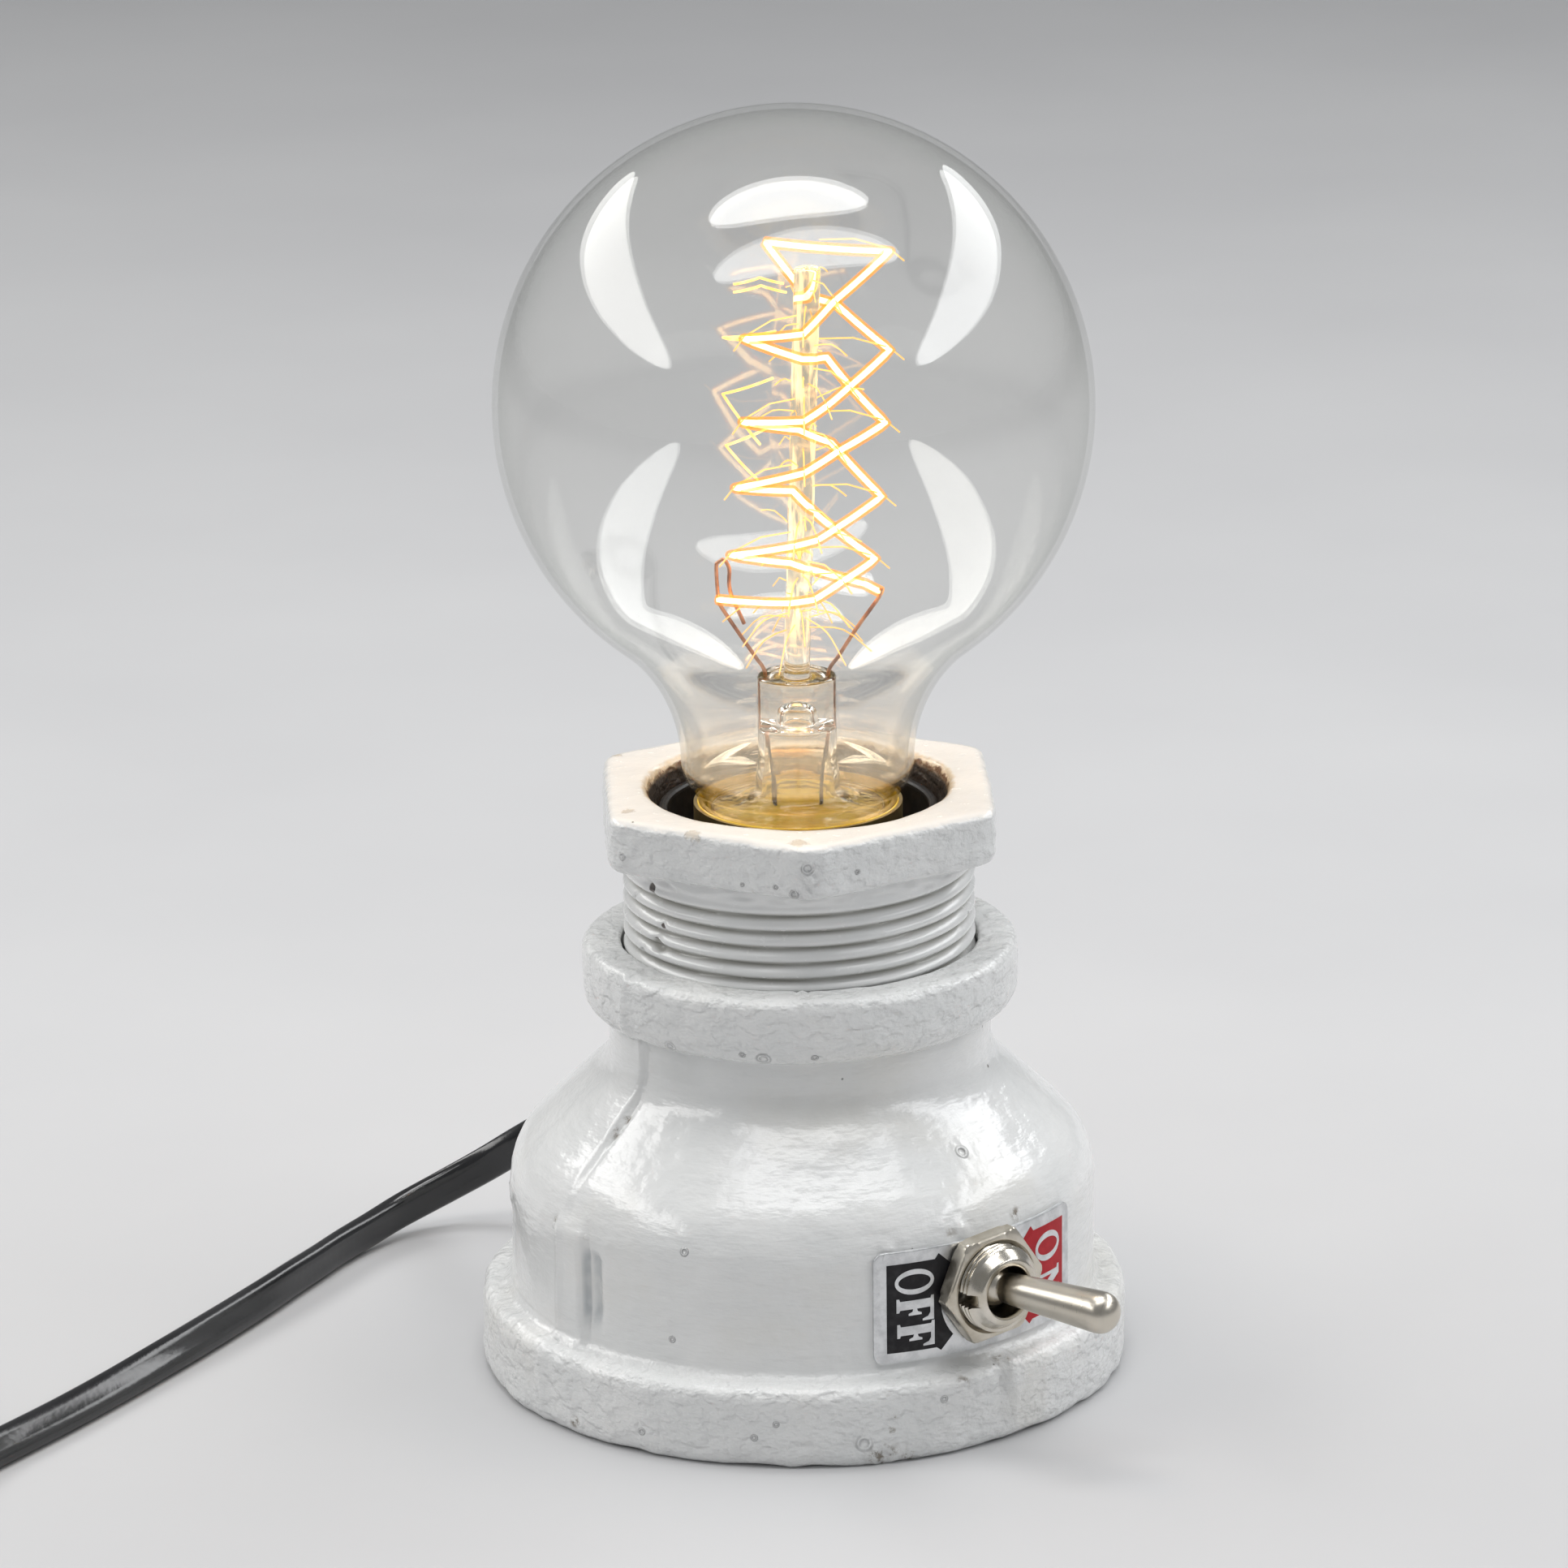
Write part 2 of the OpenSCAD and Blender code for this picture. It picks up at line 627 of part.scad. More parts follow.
module switch_frame() {
    keyway_w = 2;
    keyway_deep = 1.1;
    sw_len = case_y - sw_front_y;
    sw_pitch = 0.75;
    sw_root_r = sw_thread_r - 0.45;
    nose_len = 1.4;
    nose_r = 4.6;
    color(nickel)
    difference() {
        union() {
            out_from(case_y)
                rotate_extrude()
                    polygon(concat([[2, 0], [sw_root_r, 0]],
                        [for (k = [0:floor((sw_len - nose_len - 2.2) / sw_pitch)]) each [
                            [sw_root_r, 1.6 + k * sw_pitch], [sw_thread_r, 1.9 + k * sw_pitch]]],
                        [[sw_root_r, sw_len - nose_len], [nose_r, sw_len - 0.2], [nose_r - 0.2, sw_len],
                        [2, sw_len]]));
            translate([-case_w / 2 - 0.6, frame_y, switch_z - case_h / 2])
                cube([case_w + 1.2, frame_t, case_h]);
            for (side = [-1, 1])
                translate([side * (case_w / 2 + 0.35) - 0.25, frame_y, switch_z - case_h / 2 + 2])
                    cube([0.5, 9, case_h - 4]);
        }
        out_from(case_y + 1)
            cylinder(r = sw_bore_r, h = case_y - sw_front_y - 0.2);
        out_from(sw_front_y + 2)
            cylinder(r = ball_r + 0.1, h = 3);
        out_from(pivot_y + 3.6)
            mirror([0, 0, 1])
                cylinder(r1 = sw_bore_r, r2 = 4.9, h = case_y - pivot_y - 3.6 + 0.1);
        translate([-sw_thread_r - 1, sw_front_y - 1, switch_z - keyway_w / 2])
            cube([1 + keyway_deep, sw_len - 1, keyway_w]);
    }
}

module switch_case() {
    color(phenolic)
    difference() {
        translate([-case_w / 2, case_y, switch_z - case_h / 2])
            cube([case_w, case_d, case_h]);
        translate([-case_w / 2 + case_wall, case_y - 1, switch_z - case_h / 2 + case_wall])
            cube([case_w - 2 * case_wall, case_d - case_wall + 1, case_h - 2 * case_wall]);
        for (x = [-lug_x, 0])
            translate([x - lug_w / 2 - 0.1, case_back_y - 3, switch_z - lug_t / 2 - 0.1])
                cube([lug_w + 0.2, 5, lug_t + 0.2]);
    }
}

rocker_axis_y = rocker_y + rocker_t;
rocker_drop = (rocker_len / 2 - 1) * sin(rocker_tilt);
module switch_terminals() {
    button_r = 1.1;
    button_h = 0.5;
    saddle_y = rocker_axis_y + 0.8;
    fixed_y = rocker_axis_y + rocker_drop + 0.9;
    color(brass)
    union() {
        translate([-lug_w / 2, saddle_y, switch_z - lug_t / 2])
            cube([lug_w, case_back_y - saddle_y + lug_len, lug_t]);
        translate([-lug_x - lug_w / 2, fixed_y, switch_z - lug_t / 2])
            cube([lug_w, case_back_y - fixed_y + lug_len, lug_t]);
        translate([-lug_x, fixed_y + eps, switch_z])
            rotate([90, 0, 0])
                cylinder(r = button_r, h = button_h);
    }
}

// A bar that rocks about the knuckle formed across its back
module rocker_contact() {
    knuckle_r = 0.45;
    color(copper)
    translate([0, rocker_axis_y, switch_z - rocker_w / 2])
        rotate([0, 0, -rocker_tilt])
            union() {
                translate([-rocker_len / 2, -rocker_t, 0])
                    cube([rocker_len, rocker_t, rocker_w]);
                cylinder(r = knuckle_r, h = rocker_w);
            }
}

// Everything on the bat is drawn along its own axis from the pivot and then tilted
module on_bat() {
    translate([0, pivot_y, switch_z])
        rotate([0, 0, bat_tilt])
            rotate([90, 0, 0])
                children();
}
arm_len = rocker_y - pivot_y - 3.2;

module toggle_bat() {
    stem_r = 1.65;
    pin_r = 0.6;
    pin_half = ball_r + 0.25;
    color(nickel)
    on_bat()
        difference() {
            union() {
                sphere(r = ball_r);
                rotate_extrude()
                    polygon(concat([[0, 2], [stem_r, 2], [stem_r, 5]],
                        arc(0, bat_len, bat_tip_r, 0, 90, 10)));
                translate([0, 0, -arm_len])
                    cylinder(r = arm_r, h = arm_len);
                translate([0, pin_half, 0])
                    rotate([90, 0, 0])
                        cylinder(r = pin_r, h = 2 * pin_half);
            }
            translate([0, 0, -arm_len - 1])
                cylinder(r = plunger_r + 0.05, h = arm_len - 1);
        }
}

plunger_out = 2.85;
module switch_plunger() {
    color(black_pvc)
    on_bat()
        union() {
            translate([0, 0, -arm_len - plunger_out + plunger_r])
                sphere(r = plunger_r);
            translate([0, 0, -arm_len - plunger_out + plunger_r])
                cylinder(r = plunger_r, h = 3);
        }
}

module plunger_spring() {
    wire_r = 0.15;
    turns = 5;
    low = -arm_len - plunger_out + plunger_r + 3.2;
    high = -2.3;
    mid_r = plunger_r - 0.2;
    path = [for (i = [0:8 * turns]) [mid_r * cos(45 * i), mid_r * sin(45 * i),
        low + (high - low) * i / (8 * turns), 0]];
    color(steel)
    on_bat()
        tube(path, round_section(wire_r, 6));
}

plate_out_r = body_r + 0.05 + plate_t;
nut_y = -plate_out_r - 0.05;
module hex_nut() {
    nut_corner_r = nut_af / 2 / cos(30);
    color(nickel)
    out_from(nut_y)
        difference() {
            intersection() {
                rotate([0, 0, 5])
                    cylinder(r = nut_corner_r, h = nut_h, $fn = 6);
                rotate_extrude()
                    polygon([[0, -1], [nut_corner_r + 1, -1], [nut_corner_r + 1, nut_h - 1.2],
                        [nut_corner_r - 1, nut_h], [0, nut_h]]);
            }
            translate([0, 0, -1])
                cylinder(r = sw_thread_r + 0.06, h = nut_h + 2);
            translate([0, 0, nut_h - 0.6])
                cylinder(r1 = sw_thread_r - 0.2, r2 = sw_thread_r + 0.6, h = 0.6 + eps);
        }
}

module back_nut() {
    color(nickel)
    out_from(frame_y)
        difference() {
            cylinder(r = nut_af / 2 / cos(30), h = back_nut_h, $fn = 6);
            translate([0, 0, -1])
                cylinder(r = sw_thread_r + 0.06, h = back_nut_h + 2);
        }
}

module lock_washer() {
    color(steel)
    out_from(back_nut_y)
        difference() {
            cylinder(r = washer_r, h = washer_t);
            translate([0, 0, -1])
                cylinder(r = sw_thread_r + 0.2, h = washer_t + 2);
        }
}

module legend_plate() {
    half = plate_len / 2 / plate_out_r * 180 / PI;
    turn = plate_shift / plate_out_r * 180 / PI;
    color([0.75, 0.75, 0.75])
    difference() {
        translate([0, 0, switch_z - plate_drop - plate_h / 2])
            rotate([0, 0, -90 - half + turn])
                rotate_extrude(angle = 2 * half)
                    translate([plate_out_r - plate_t, 0])
                        square([plate_t, plate_h]);
        out_from(-body_r + 5)
            cylinder(r = sw_thread_r + 0.2, h = 20);
    }
}

// ---- Cord, leads and plug ----
relief_len = 20;
relief_out = 10;
relief_tip_y = body_r + relief_out;
seat_y = sqrt(bore_r * bore_r - 6.5 * 6.5);
module cord_relief() {
    inner_y = relief_tip_y - relief_len;
    color(black_pvc)
    translate([0, 0, cord_z])
        rotate([-90, 0, 0])
            rotate_extrude()
                polygon([[0, inner_y], [4, inner_y], [4.2, seat_y - 1.6], [6.5, seat_y - 1.6],
                    [6.5, seat_y - 0.05], [cord_hole_r - 0.1, seat_y - 0.05],
                    [cord_hole_r - 0.1, body_r + 0.1], [6.4, body_r + 0.1], [6.4, body_r + 1.2],
                    [5.2, body_r + 2], [3.1, relief_tip_y], [0, relief_tip_y]]);
}

function flat_section(n) =
    [for (i = [0:n - 1]) let (a = 360 * (i + 0.5) / n)
        [cord_t / 2 * cos(a) + sign(cos(a)) * (cord_w - cord_t) / 2, cord_t / 2 * sin(a)]];

// The coil lies on the table with the flat cord on edge. The cord winds in on the lower layer
// and out again on the upper one, so it comes in and leaves at the outside.
coil_x = -149.5;
coil_y = 56;
coil_start = -69;
coil_run = cord_w;
layer_rise = cord_w + 0.6;
coil_rest_z = 0.1;
coil_low_z = coil_rest_z + cord_w / 2;
coil_in_r = coil_r - coil_pitch * coil_turns / 2;
coil_end = coil_start - 360 * coil_turns;
coil_dir = [sin(coil_start), -cos(coil_start), 0];
coil_end_dir = [sin(coil_end), -cos(coil_end), 0];
function on_coil(angle, height) = [coil_x + coil_r * cos(angle), coil_y + coil_r * sin(angle), height];
coil_mouth = on_coil(coil_start, coil_low_z) - coil_run * coil_dir;
coil_exit = on_coil(coil_end, coil_low_z + layer_rise) + coil_run * coil_end_dir;

// The cord's route over the table, [x, y, z, roll]: on edge out of the lamp, then lying flat
cord_route = [[0, relief_tip_y, cord_z, 90], [0, 53, 18.8, 90], [-1.5, 57, 17.2, 90],
    [-4, 62, 14, 90], [-8, 66, 10, 90], [-13.5, 68.5, 6.5, 90], [-20.5, 69.5, 4, 90],
    [-27, 68, 3, 90], [-33.5, 65.5, 2.7, 90], [-39.5, 62.5, 2.7, 90], [-46, 59, 2.7, 80],
    [-52, 56, 2.6, 60], [-58.5, 53, 2.4, 40], [-65, 50.5, 2, 20], [-71.5, 47.5, 1.6, 5],
    [-78, 45, 1.5, 0], [-84.5, 42, 1.5, 0], [-91, 39.5, 1.5, 0], [-97.5, 37, 1.5, 0],
    [-104, 34.7, 1.5, 0], [-110.5, 32.3, 1.5, 5], [-117, 29.8, 2, 40], [-124, 27.1, 2.6, 84],
    [coil_mouth.x, coil_mouth.y, coil_mouth.z, 90]];

module cord() {
    color(black_pvc)
    tube(cord_route, flat_section(10), first = [0, 1, 0], last = coil_dir);
}

// A slot in the coil's outside that one end of the cord lies in; at is the middle of its end wall
module coil_slot(at, dir, low, high) {
    slot_w = cord_t + 0.4;
    translate([at.x, at.y, low])
        rotate([0, 0, atan2(dir.y, dir.x)])
            translate([0, -slot_w / 2, 0])
                cube([3 * cord_w, slot_w, high - low]);
}

module cord_coil() {
    outline_in = coil_in_r - cord_t / 2;
    outline_out = coil_r + cord_t / 2;
    top = coil_rest_z + cord_w + layer_rise;
    soft = cord_t / 2;
    split_z = coil_low_z + layer_rise / 2;
    color(black_pvc)
    difference() {
        translate([coil_x, coil_y, 0])
            rotate_extrude()
                polygon([[outline_in, coil_rest_z], [outline_out, coil_rest_z],
                    [outline_out, top - soft], [outline_out - soft, top],
                    [outline_in + soft, top], [outline_in, top - soft]]);
        coil_slot(coil_mouth, -coil_dir, -1, split_z);
        coil_slot(coil_exit, coil_end_dir, split_z, top + 1);
    }
}

tail_len = 26;
plug_mid_z = plug_t / 2;
plug_back = [coil_exit.x, coil_exit.y, 0] + tail_len * coil_end_dir;
module cord_tail() {
    start = [coil_exit.x, coil_exit.y, 0];
    level = 0.38;
    route = [for (f = [0, level, 0.47, 0.56, 0.65, 0.74, 0.83, 0.92, 1])
        let (p = start + f * tail_len * coil_end_dir,
            e = (1 - cos(180 * (f - level) / (1 - level))) / 2 * (f > level ? 1 : 0))
        [p.x, p.y, coil_exit.z + (plug_mid_z - coil_exit.z) * e, 90 - 90 * e]];
    color(black_pvc)
    tube(route, flat_section(10), first = coil_end_dir, last = coil_end_dir);
}

// Places what is drawn along +X, from the plug's back, on the table
module at_plug() {
    translate([plug_back.x, plug_back.y, plug_mid_z])
        rotate([0, 0, atan2(coil_end_dir.y, coil_end_dir.x)])
            children();
}

module plug_body() {
    grip_r = 3;
    taper_len = 14;
    color(black_pvc)
    at_plug()
        hull() {
            for (y = [-1, 1], z = [-1, 1])
                translate([plug_len - 12, y * (plug_w / 2 - grip_r), z * (plug_t / 2 - grip_r)])
                    rotate([0, 90, 0])
                        cylinder(r = grip_r, h = 12, $fn = 32);
            for (y = [-1, 1])
                translate([0, y * (cord_w / 2 - 0.8), 0])
                    rotate([0, 90, 0])
                        cylinder(r = 2.4, h = plug_len - taper_len, $fn = 32);
        }
}

module plug_blades() {
    blade_gap = 12.7;
    blade_t = 1.5;
    blade_w = 6.35;
    blade_len = 16;
    color(nickel)
    at_plug()
        for (side = [-1, 1])
            translate([plug_len, side * blade_gap / 2 - blade_t / 2, -blade_w / 2])
                intersection() {
                    cube([blade_len, blade_t, blade_w]);
                    translate([blade_len - 16, -1, blade_w / 2])
                        rotate([-90, 0, 0])
                            cylinder(r = 16, h = blade_t + 2);
                }
}

// Insulated leads inside the lamp; each route's points are [x, y, z, 0]
lead_sides = 8;
lead_y = relief_tip_y - relief_len;
split = 1.3;
screw_mid_z = core_z - screw_head_h / 2;
lug_end_y = case_back_y + lug_len;
lead_rise = holder_low_z - switch_z;
head_gap = 0.1;
module lead(route, last = undef) {
    color(black_pvc)
    tube(route, round_section(core_r, lead_sides), up = [1, 0.35, 0], last = last);
}
module lead_neutral() {
    lead([[0, lead_y, cord_z + split, 0], [0, lead_y - 6, cord_z + split, 0],
        [-0.6, lead_y - 12, switch_z + 0.1 * lead_rise, 0],
        [-1.6, lead_y - 19, switch_z + 0.4 * lead_rise, 0],
        [-2.2, 4, switch_z + 0.67 * lead_rise, 0], [-2.3, 1, holder_low_z, 0],
        [-2.6, 0.5, holder_low_z + 4, 0], [-3.6, 0.2, core_z - 6, 0],
        [-5.2, 0, screw_mid_z - 1, 0], [-screw_x + screw_head_r + head_gap, 0, screw_mid_z, 0]],
        [-1, 0, 0]);
}
module lead_live() {
    lead([[0, lead_y, cord_z - split, 0], [0, lead_y - 6, cord_z - split, 0],
        [1.5, lead_y - 12, cord_z - 2, 0], [3.5, lead_y - 20, cord_z - 2, 0],
        [3.6, lug_end_y + 11.6, cord_z - 1, 0], [2, lug_end_y + 5.6, switch_z - 1.8, 0],
        [0.4, lug_end_y + 2.6, switch_z, 0], [0, lug_end_y + 0.1, switch_z, 0]]);
}
module lead_switched() {
    lead([[-lug_x, lug_end_y + 0.1, switch_z, 0], [-lug_x, lug_end_y + 2.5, switch_z, 0],
        [-6.5, lug_end_y + 4.6, switch_z + 0.18 * lead_rise, 0],
        [-2.6, lug_end_y + 6.1, switch_z + 0.4 * lead_rise, 0],
        [1.2, -2, switch_z + 0.67 * lead_rise, 0], [2.3, -1, holder_low_z, 0],
        [2.6, -0.5, holder_low_z + 4, 0], [3.6, -0.2, core_z - 6, 0],
        [5.2, 0, screw_mid_z - 1, 0], [screw_x - screw_head_r - head_gap, 0, screw_mid_z, 0]],
        [1, 0, 0]);
}

reducer();
hex_bushing();
holder_skirt();
holder_cap();
holder_core();
screw_shell();
holder_contact();
holder_screws();
holder_adhesive();
glass_globe();
lamp_cap();
cap_insulator();
cap_contact();
cap_cement();
glass_stem();
stem_wires();
filament_supports();
filament();
switch_frame();
switch_case();
switch_terminals();
rocker_contact();
toggle_bat();
switch_plunger();
plunger_spring();
hex_nut();
back_nut();
lock_washer();
legend_plate();
cord_relief();
lead_neutral();
lead_live();
lead_switched();
cord();
cord_coil();
cord_tail();
plug_body();
plug_blades();
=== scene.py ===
import math
import bmesh
import bpy
from mathutils import Matrix, Vector, noise


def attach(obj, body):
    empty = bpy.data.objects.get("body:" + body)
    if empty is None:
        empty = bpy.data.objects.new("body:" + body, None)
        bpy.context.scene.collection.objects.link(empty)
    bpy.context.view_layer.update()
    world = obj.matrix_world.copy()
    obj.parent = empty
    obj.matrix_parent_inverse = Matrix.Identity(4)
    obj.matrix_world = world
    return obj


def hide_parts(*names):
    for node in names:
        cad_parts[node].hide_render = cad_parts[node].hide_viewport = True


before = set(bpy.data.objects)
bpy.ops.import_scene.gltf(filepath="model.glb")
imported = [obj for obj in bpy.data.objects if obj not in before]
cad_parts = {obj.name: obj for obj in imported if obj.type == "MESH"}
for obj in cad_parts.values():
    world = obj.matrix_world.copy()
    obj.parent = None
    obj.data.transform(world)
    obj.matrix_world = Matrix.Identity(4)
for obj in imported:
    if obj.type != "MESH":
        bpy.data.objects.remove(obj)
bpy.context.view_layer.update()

# ---- Camera ----
# The lamp is seen from its front left and a little from above, through a long lens, so the
# switch faces half right and the cord leaves at the left edge of the picture.
mm = 0.001
scene = bpy.context.scene
scene.view_settings.view_transform = "Standard"
lens = bpy.data.cameras.new("camera")
lens.sensor_width = 36.0
lens.lens = 163.44
view_turn, view_drop, view_roll = -36.5, 17.303, -0.012
camera = bpy.data.objects.new("camera", lens)
scene.collection.objects.link(camera)
camera.matrix_world = (
    Matrix.Translation((-546.2 * mm, -735.0 * mm, 366.46 * mm))
    @ Matrix.Rotation(math.radians(view_turn), 4, "Z")
    @ Matrix.Rotation(math.radians(90 - view_drop), 4, "X")
    @ Matrix.Rotation(view_roll, 4, "Z")
)
lens.clip_start, lens.clip_end = 0.05, 50.0
scene.camera = camera


# ---- Cord ----
# Flat two-core flex in glossy black PVC. It comes out of the strain relief on edge, drops to
# the table, leans over there, and its spare length lies wound in two layers up to the plug.
class Tap:
    """What comes out of one node of a finish; sums of taps add the Math nodes for them."""

    def __init__(self, finish, socket):
        self.finish, self.socket = finish, socket

    def math(self, operation, first, second):
        return self.finish.node("ShaderNodeMath", {"operation": operation}, {0: first, 1: second})

    def __add__(self, other):
        return self.math("ADD", self, other)

    def __radd__(self, other):
        return self.math("ADD", other, self)

    def __sub__(self, other):
        return self.math("SUBTRACT", self, other)

    def __rsub__(self, other):
        return self.math("SUBTRACT", other, self)

    def __mul__(self, other):
        return self.math("MULTIPLY", self, other)

    def __rmul__(self, other):
        return self.math("MULTIPLY", other, self)

    def __gt__(self, other):
        return self.math("GREATER_THAN", self, other)

    def fade(self, start, end):
        """0 up to start and 1 from end on, with a soft step between them."""
        return self.finish.node(
            "ShaderNodeMapRange",
            {"interpolation_type": "SMOOTHSTEP"},
            {"Value": self, "From Min": start, "From Max": end},
        )


class Finish:
    """A surface finish: one material, put together node by node."""

    def __init__(self, name):
        self.material = bpy.data.materials.new(name)
        self.material.use_nodes = True
        self.tree = self.material.node_tree
        self.tree.nodes.clear()
        self.place = self.node("ShaderNodeTexCoord", output="Object")

    def node(self, kind, settings={}, sockets={}, output=0):
        made = self.tree.nodes.new(kind)
        for name, value in settings.items():
            setattr(made, name, value)
        for name, value in sockets.items():
            if isinstance(value, Tap):
                self.tree.links.new(value.socket, made.inputs[name])
            elif made.inputs[name].type == "RGBA":
                made.inputs[name].default_value = (*value, 1.0)
            else:
                made.inputs[name].default_value = value
        return Tap(self, made.outputs[output]) if made.outputs else made

    def grain(self, size, detail=2.0, roughness=0.5, stretch=None, turn=0.0):
        """Soft noise whose lumps are about size metres across, or stretch times that each way."""
        where = self.place
        if stretch:
            where = self.node("ShaderNodeMapping", {"vector_type": "TEXTURE"}, {
                "Vector": where, "Scale": stretch, "Rotation": (0, 0, math.radians(turn))})
        return self.node(
            "ShaderNodeTexNoise",
            {},
            {"Vector": where, "Scale": 1 / size, "Detail": detail, "Roughness": roughness},
        )

    def specks(self, size, share, radius):
        """1 in small round spots, one in some of the cells of a pattern size metres wide."""
        cells = self.tree.nodes.new("ShaderNodeTexVoronoi")
        self.tree.links.new(self.place.socket, cells.inputs["Vector"])
        cells.inputs["Scale"].default_value = 1 / size
        near = 1 - Tap(self, cells.outputs["Distance"]).fade(0.6 * radius / size, radius / size)
        chosen = self.node(
            "ShaderNodeSeparateColor", {}, {"Color": Tap(self, cells.outputs["Color"])}
        )
        return near * (chosen > 1 - share)

    def away(self, spot):
        """How far a point lies, in metres, from a spot that is given in millimetres."""
        return self.node("ShaderNodeVectorMath", {"operation": "DISTANCE"},
                         {0: self.place, 1: tuple(c * mm for c in spot)}, output="Value")

    def blend(self, factor, first, second):
        return self.node(
            "ShaderNodeMix",
            {"data_type": "RGBA"},
            {0: factor, 6: first, 7: second},
            output=2,
        )

    def axis(self, letter):
        """How far a point lies along X, Y or Z, in metres."""
        return self.node("ShaderNodeSeparateXYZ", {}, {"Vector": self.place}, output=letter)

    def surface(self, colour, roughness, relief=None, depth=0.0, **constants):
        """Ends the finish in one shader; relief is a height from 0 to 1, depth its metres."""
        sockets = {"Base Color": colour, "Roughness": roughness}
        sockets.update({name.replace("_", " "): value for name, value in constants.items()})
        if relief is not None:
            sockets["Normal"] = self.node(
                "ShaderNodeBump", {}, {"Height": relief, "Distance": depth, "Strength": 1.0}
            )
        shader = self.node("ShaderNodeBsdfPrincipled", {}, sockets)
        return self.end(shader)

    def end(self, shader):
        self.node("ShaderNodeOutputMaterial", {}, {"Surface": shader})
        return self


def finished(name, mesh, finish, body, slot, *nodes, sharp=35):
    """Makes the mesh a piece of the lamp: painted, fixed to its body, in its nodes' place."""
    piece = bpy.data.objects.new(name, mesh)
    scene.collection.objects.link(piece)
    mesh.materials.clear()
    mesh.materials.append(finish.material)
    mesh.shade_smooth()
    mesh.set_sharp_from_angle(angle=math.radians(sharp))
    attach(piece, body)
    if nodes:
        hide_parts(*nodes)
    return piece


def swept(name, line, section, rolls=None):
    """A tube along a line of points; rolls turn its section about the line, in degrees."""
    outline = bpy.data.curves.new(name + "_section", "CURVE")
    outline.dimensions = "2D"
    ring = outline.splines.new("POLY")
    ring.use_cyclic_u = True
    ring.points.add(len(section) - 1)
    for point, (x, y) in zip(ring.points, section):
        point.co = (x, y, 0, 1)
    profile = bpy.data.objects.new(name + "_section", outline)
    run = bpy.data.curves.new(name + "_run", "CURVE")
    run.dimensions = "3D"
    run.bevel_mode = "OBJECT"
    run.bevel_object = profile
    run.use_fill_caps = True
    run.twist_mode = "Z_UP" if rolls else "MINIMUM"
    course = run.splines.new("POLY")
    course.points.add(len(line) - 1)
    for i, (point, place) in enumerate(zip(course.points, line)):
        point.co = (*place, 1)
        point.tilt = math.radians(rolls[i]) if rolls else 0.0
    holder = bpy.data.objects.new(name + "_run", run)
    for made in (profile, holder):
        scene.collection.objects.link(made)
    ready = bpy.context.evaluated_depsgraph_get()
    mesh = bpy.data.meshes.new_from_object(holder.evaluated_get(ready))
    mesh.name = name
    for made in (holder, profile):
        curve = made.data
        bpy.data.objects.remove(made)
        bpy.data.curves.remove(curve)
    form = bmesh.new()
    form.from_mesh(mesh)
    bmesh.ops.remove_doubles(form, verts=form.verts, dist=1e-7)
    bmesh.ops.recalc_face_normals(form, faces=form.faces)
    form.to_mesh(mesh)
    form.free()
    return mesh


def eased(stops, pitch):
    """Points about pitch apart on a smooth line through the stops, each (x, y, z, roll)."""
    stops = [Vector(stop) for stop in stops]
    ends = [2 * stops[0] - stops[1]] + stops + [2 * stops[-1] - stops[-2]]
    made = []
    for a, b, c, d in zip(ends, ends[1:], ends[2:], ends[3:]):
        count = max(1, round((c.xyz - b.xyz).length / pitch))
        for i in range(count):
            t = i / count
            made.append(
                0.5 * (2 * b + t * (c - a) + t * t * (2 * a - 5 * b + 4 * c - d)
                       + t * t * t * (3 * b - a - 3 * c + d))
            )
    return made + [stops[-1]]


cord_width, cord_thick = 5.2 * mm, 2.7 * mm
relief_tip = (0, 50 * mm, 19 * mm)
coil_centre, coil_start, coil_turns, coil_pitch = (-149.5, 56), -69, 8.5, 3.3
coil_inner = 36 - coil_pitch * coil_turns / 2
coil_low, coil_rise, coil_run_in, coil_steps = 2.7, 5.8, 5.2, 96


def coil_point(turn):
    """A point of the stored coil, in millimetres: in on the lower layer, out on the upper one."""
    angle = math.radians(coil_start - 360 * turn)
    radius = coil_inner + coil_pitch * abs(turn - coil_turns / 2)
    climb = min(1, max(0, (turn - coil_turns / 2 + 0.25) / 0.5))
    height = coil_low + coil_rise * (1 - math.cos(math.pi * climb)) / 2
    return Vector((coil_centre[0] + radius * math.cos(angle),
                   coil_centre[1] + radius * math.sin(angle), height))


def coil_heading(turn):
    angle = math.radians(coil_start - 360 * turn)
    return Vector((math.sin(angle), -math.cos(angle), 0))


coil_mouth = coil_point(0) - coil_run_in * coil_heading(0)
coil_exit = coil_point(coil_turns) + coil_run_in * coil_heading(coil_turns)
cord_stops = [
    (0, 50, 19, 90), (0, 53, 18.8, 90), (-1.5, 57, 16.6, 90), (-4, 62, 12.9, 90), (-8, 66, 9.2, 90),
    (-13.5, 68.5, 6.3, 90), (-20.5, 69.5, 4, 90), (-27, 68, 3, 90), (-33.5, 65.5, 2.7, 90),
    (-39.5, 62.5, 2.65, 92), (-46, 59.3, 2.65, 97), (-52, 56.3, 2.6, 104), (-58.5, 53.3, 2.5, 112),
    (-65, 50.4, 2.4, 120), (-71.5, 47.6, 2.3, 128), (-78, 44.9, 2.2, 134), (-84.5, 42.2, 2.1, 138),
    (-91, 39.6, 2.05, 141), (-97.5, 37.1, 2.05, 142), (-104, 34.7, 2.1, 140),
    (-110.5, 32.3, 2.2, 133), (-117, 29.8, 2.4, 118), (-124, 27.1, 2.6, 98), (*coil_mouth, 90),
]
cord_line = eased(cord_stops, 1.6)
cord_line += [Vector((*coil_point(i / coil_steps), 90))
              for i in range(round(coil_steps * coil_turns) + 1)]
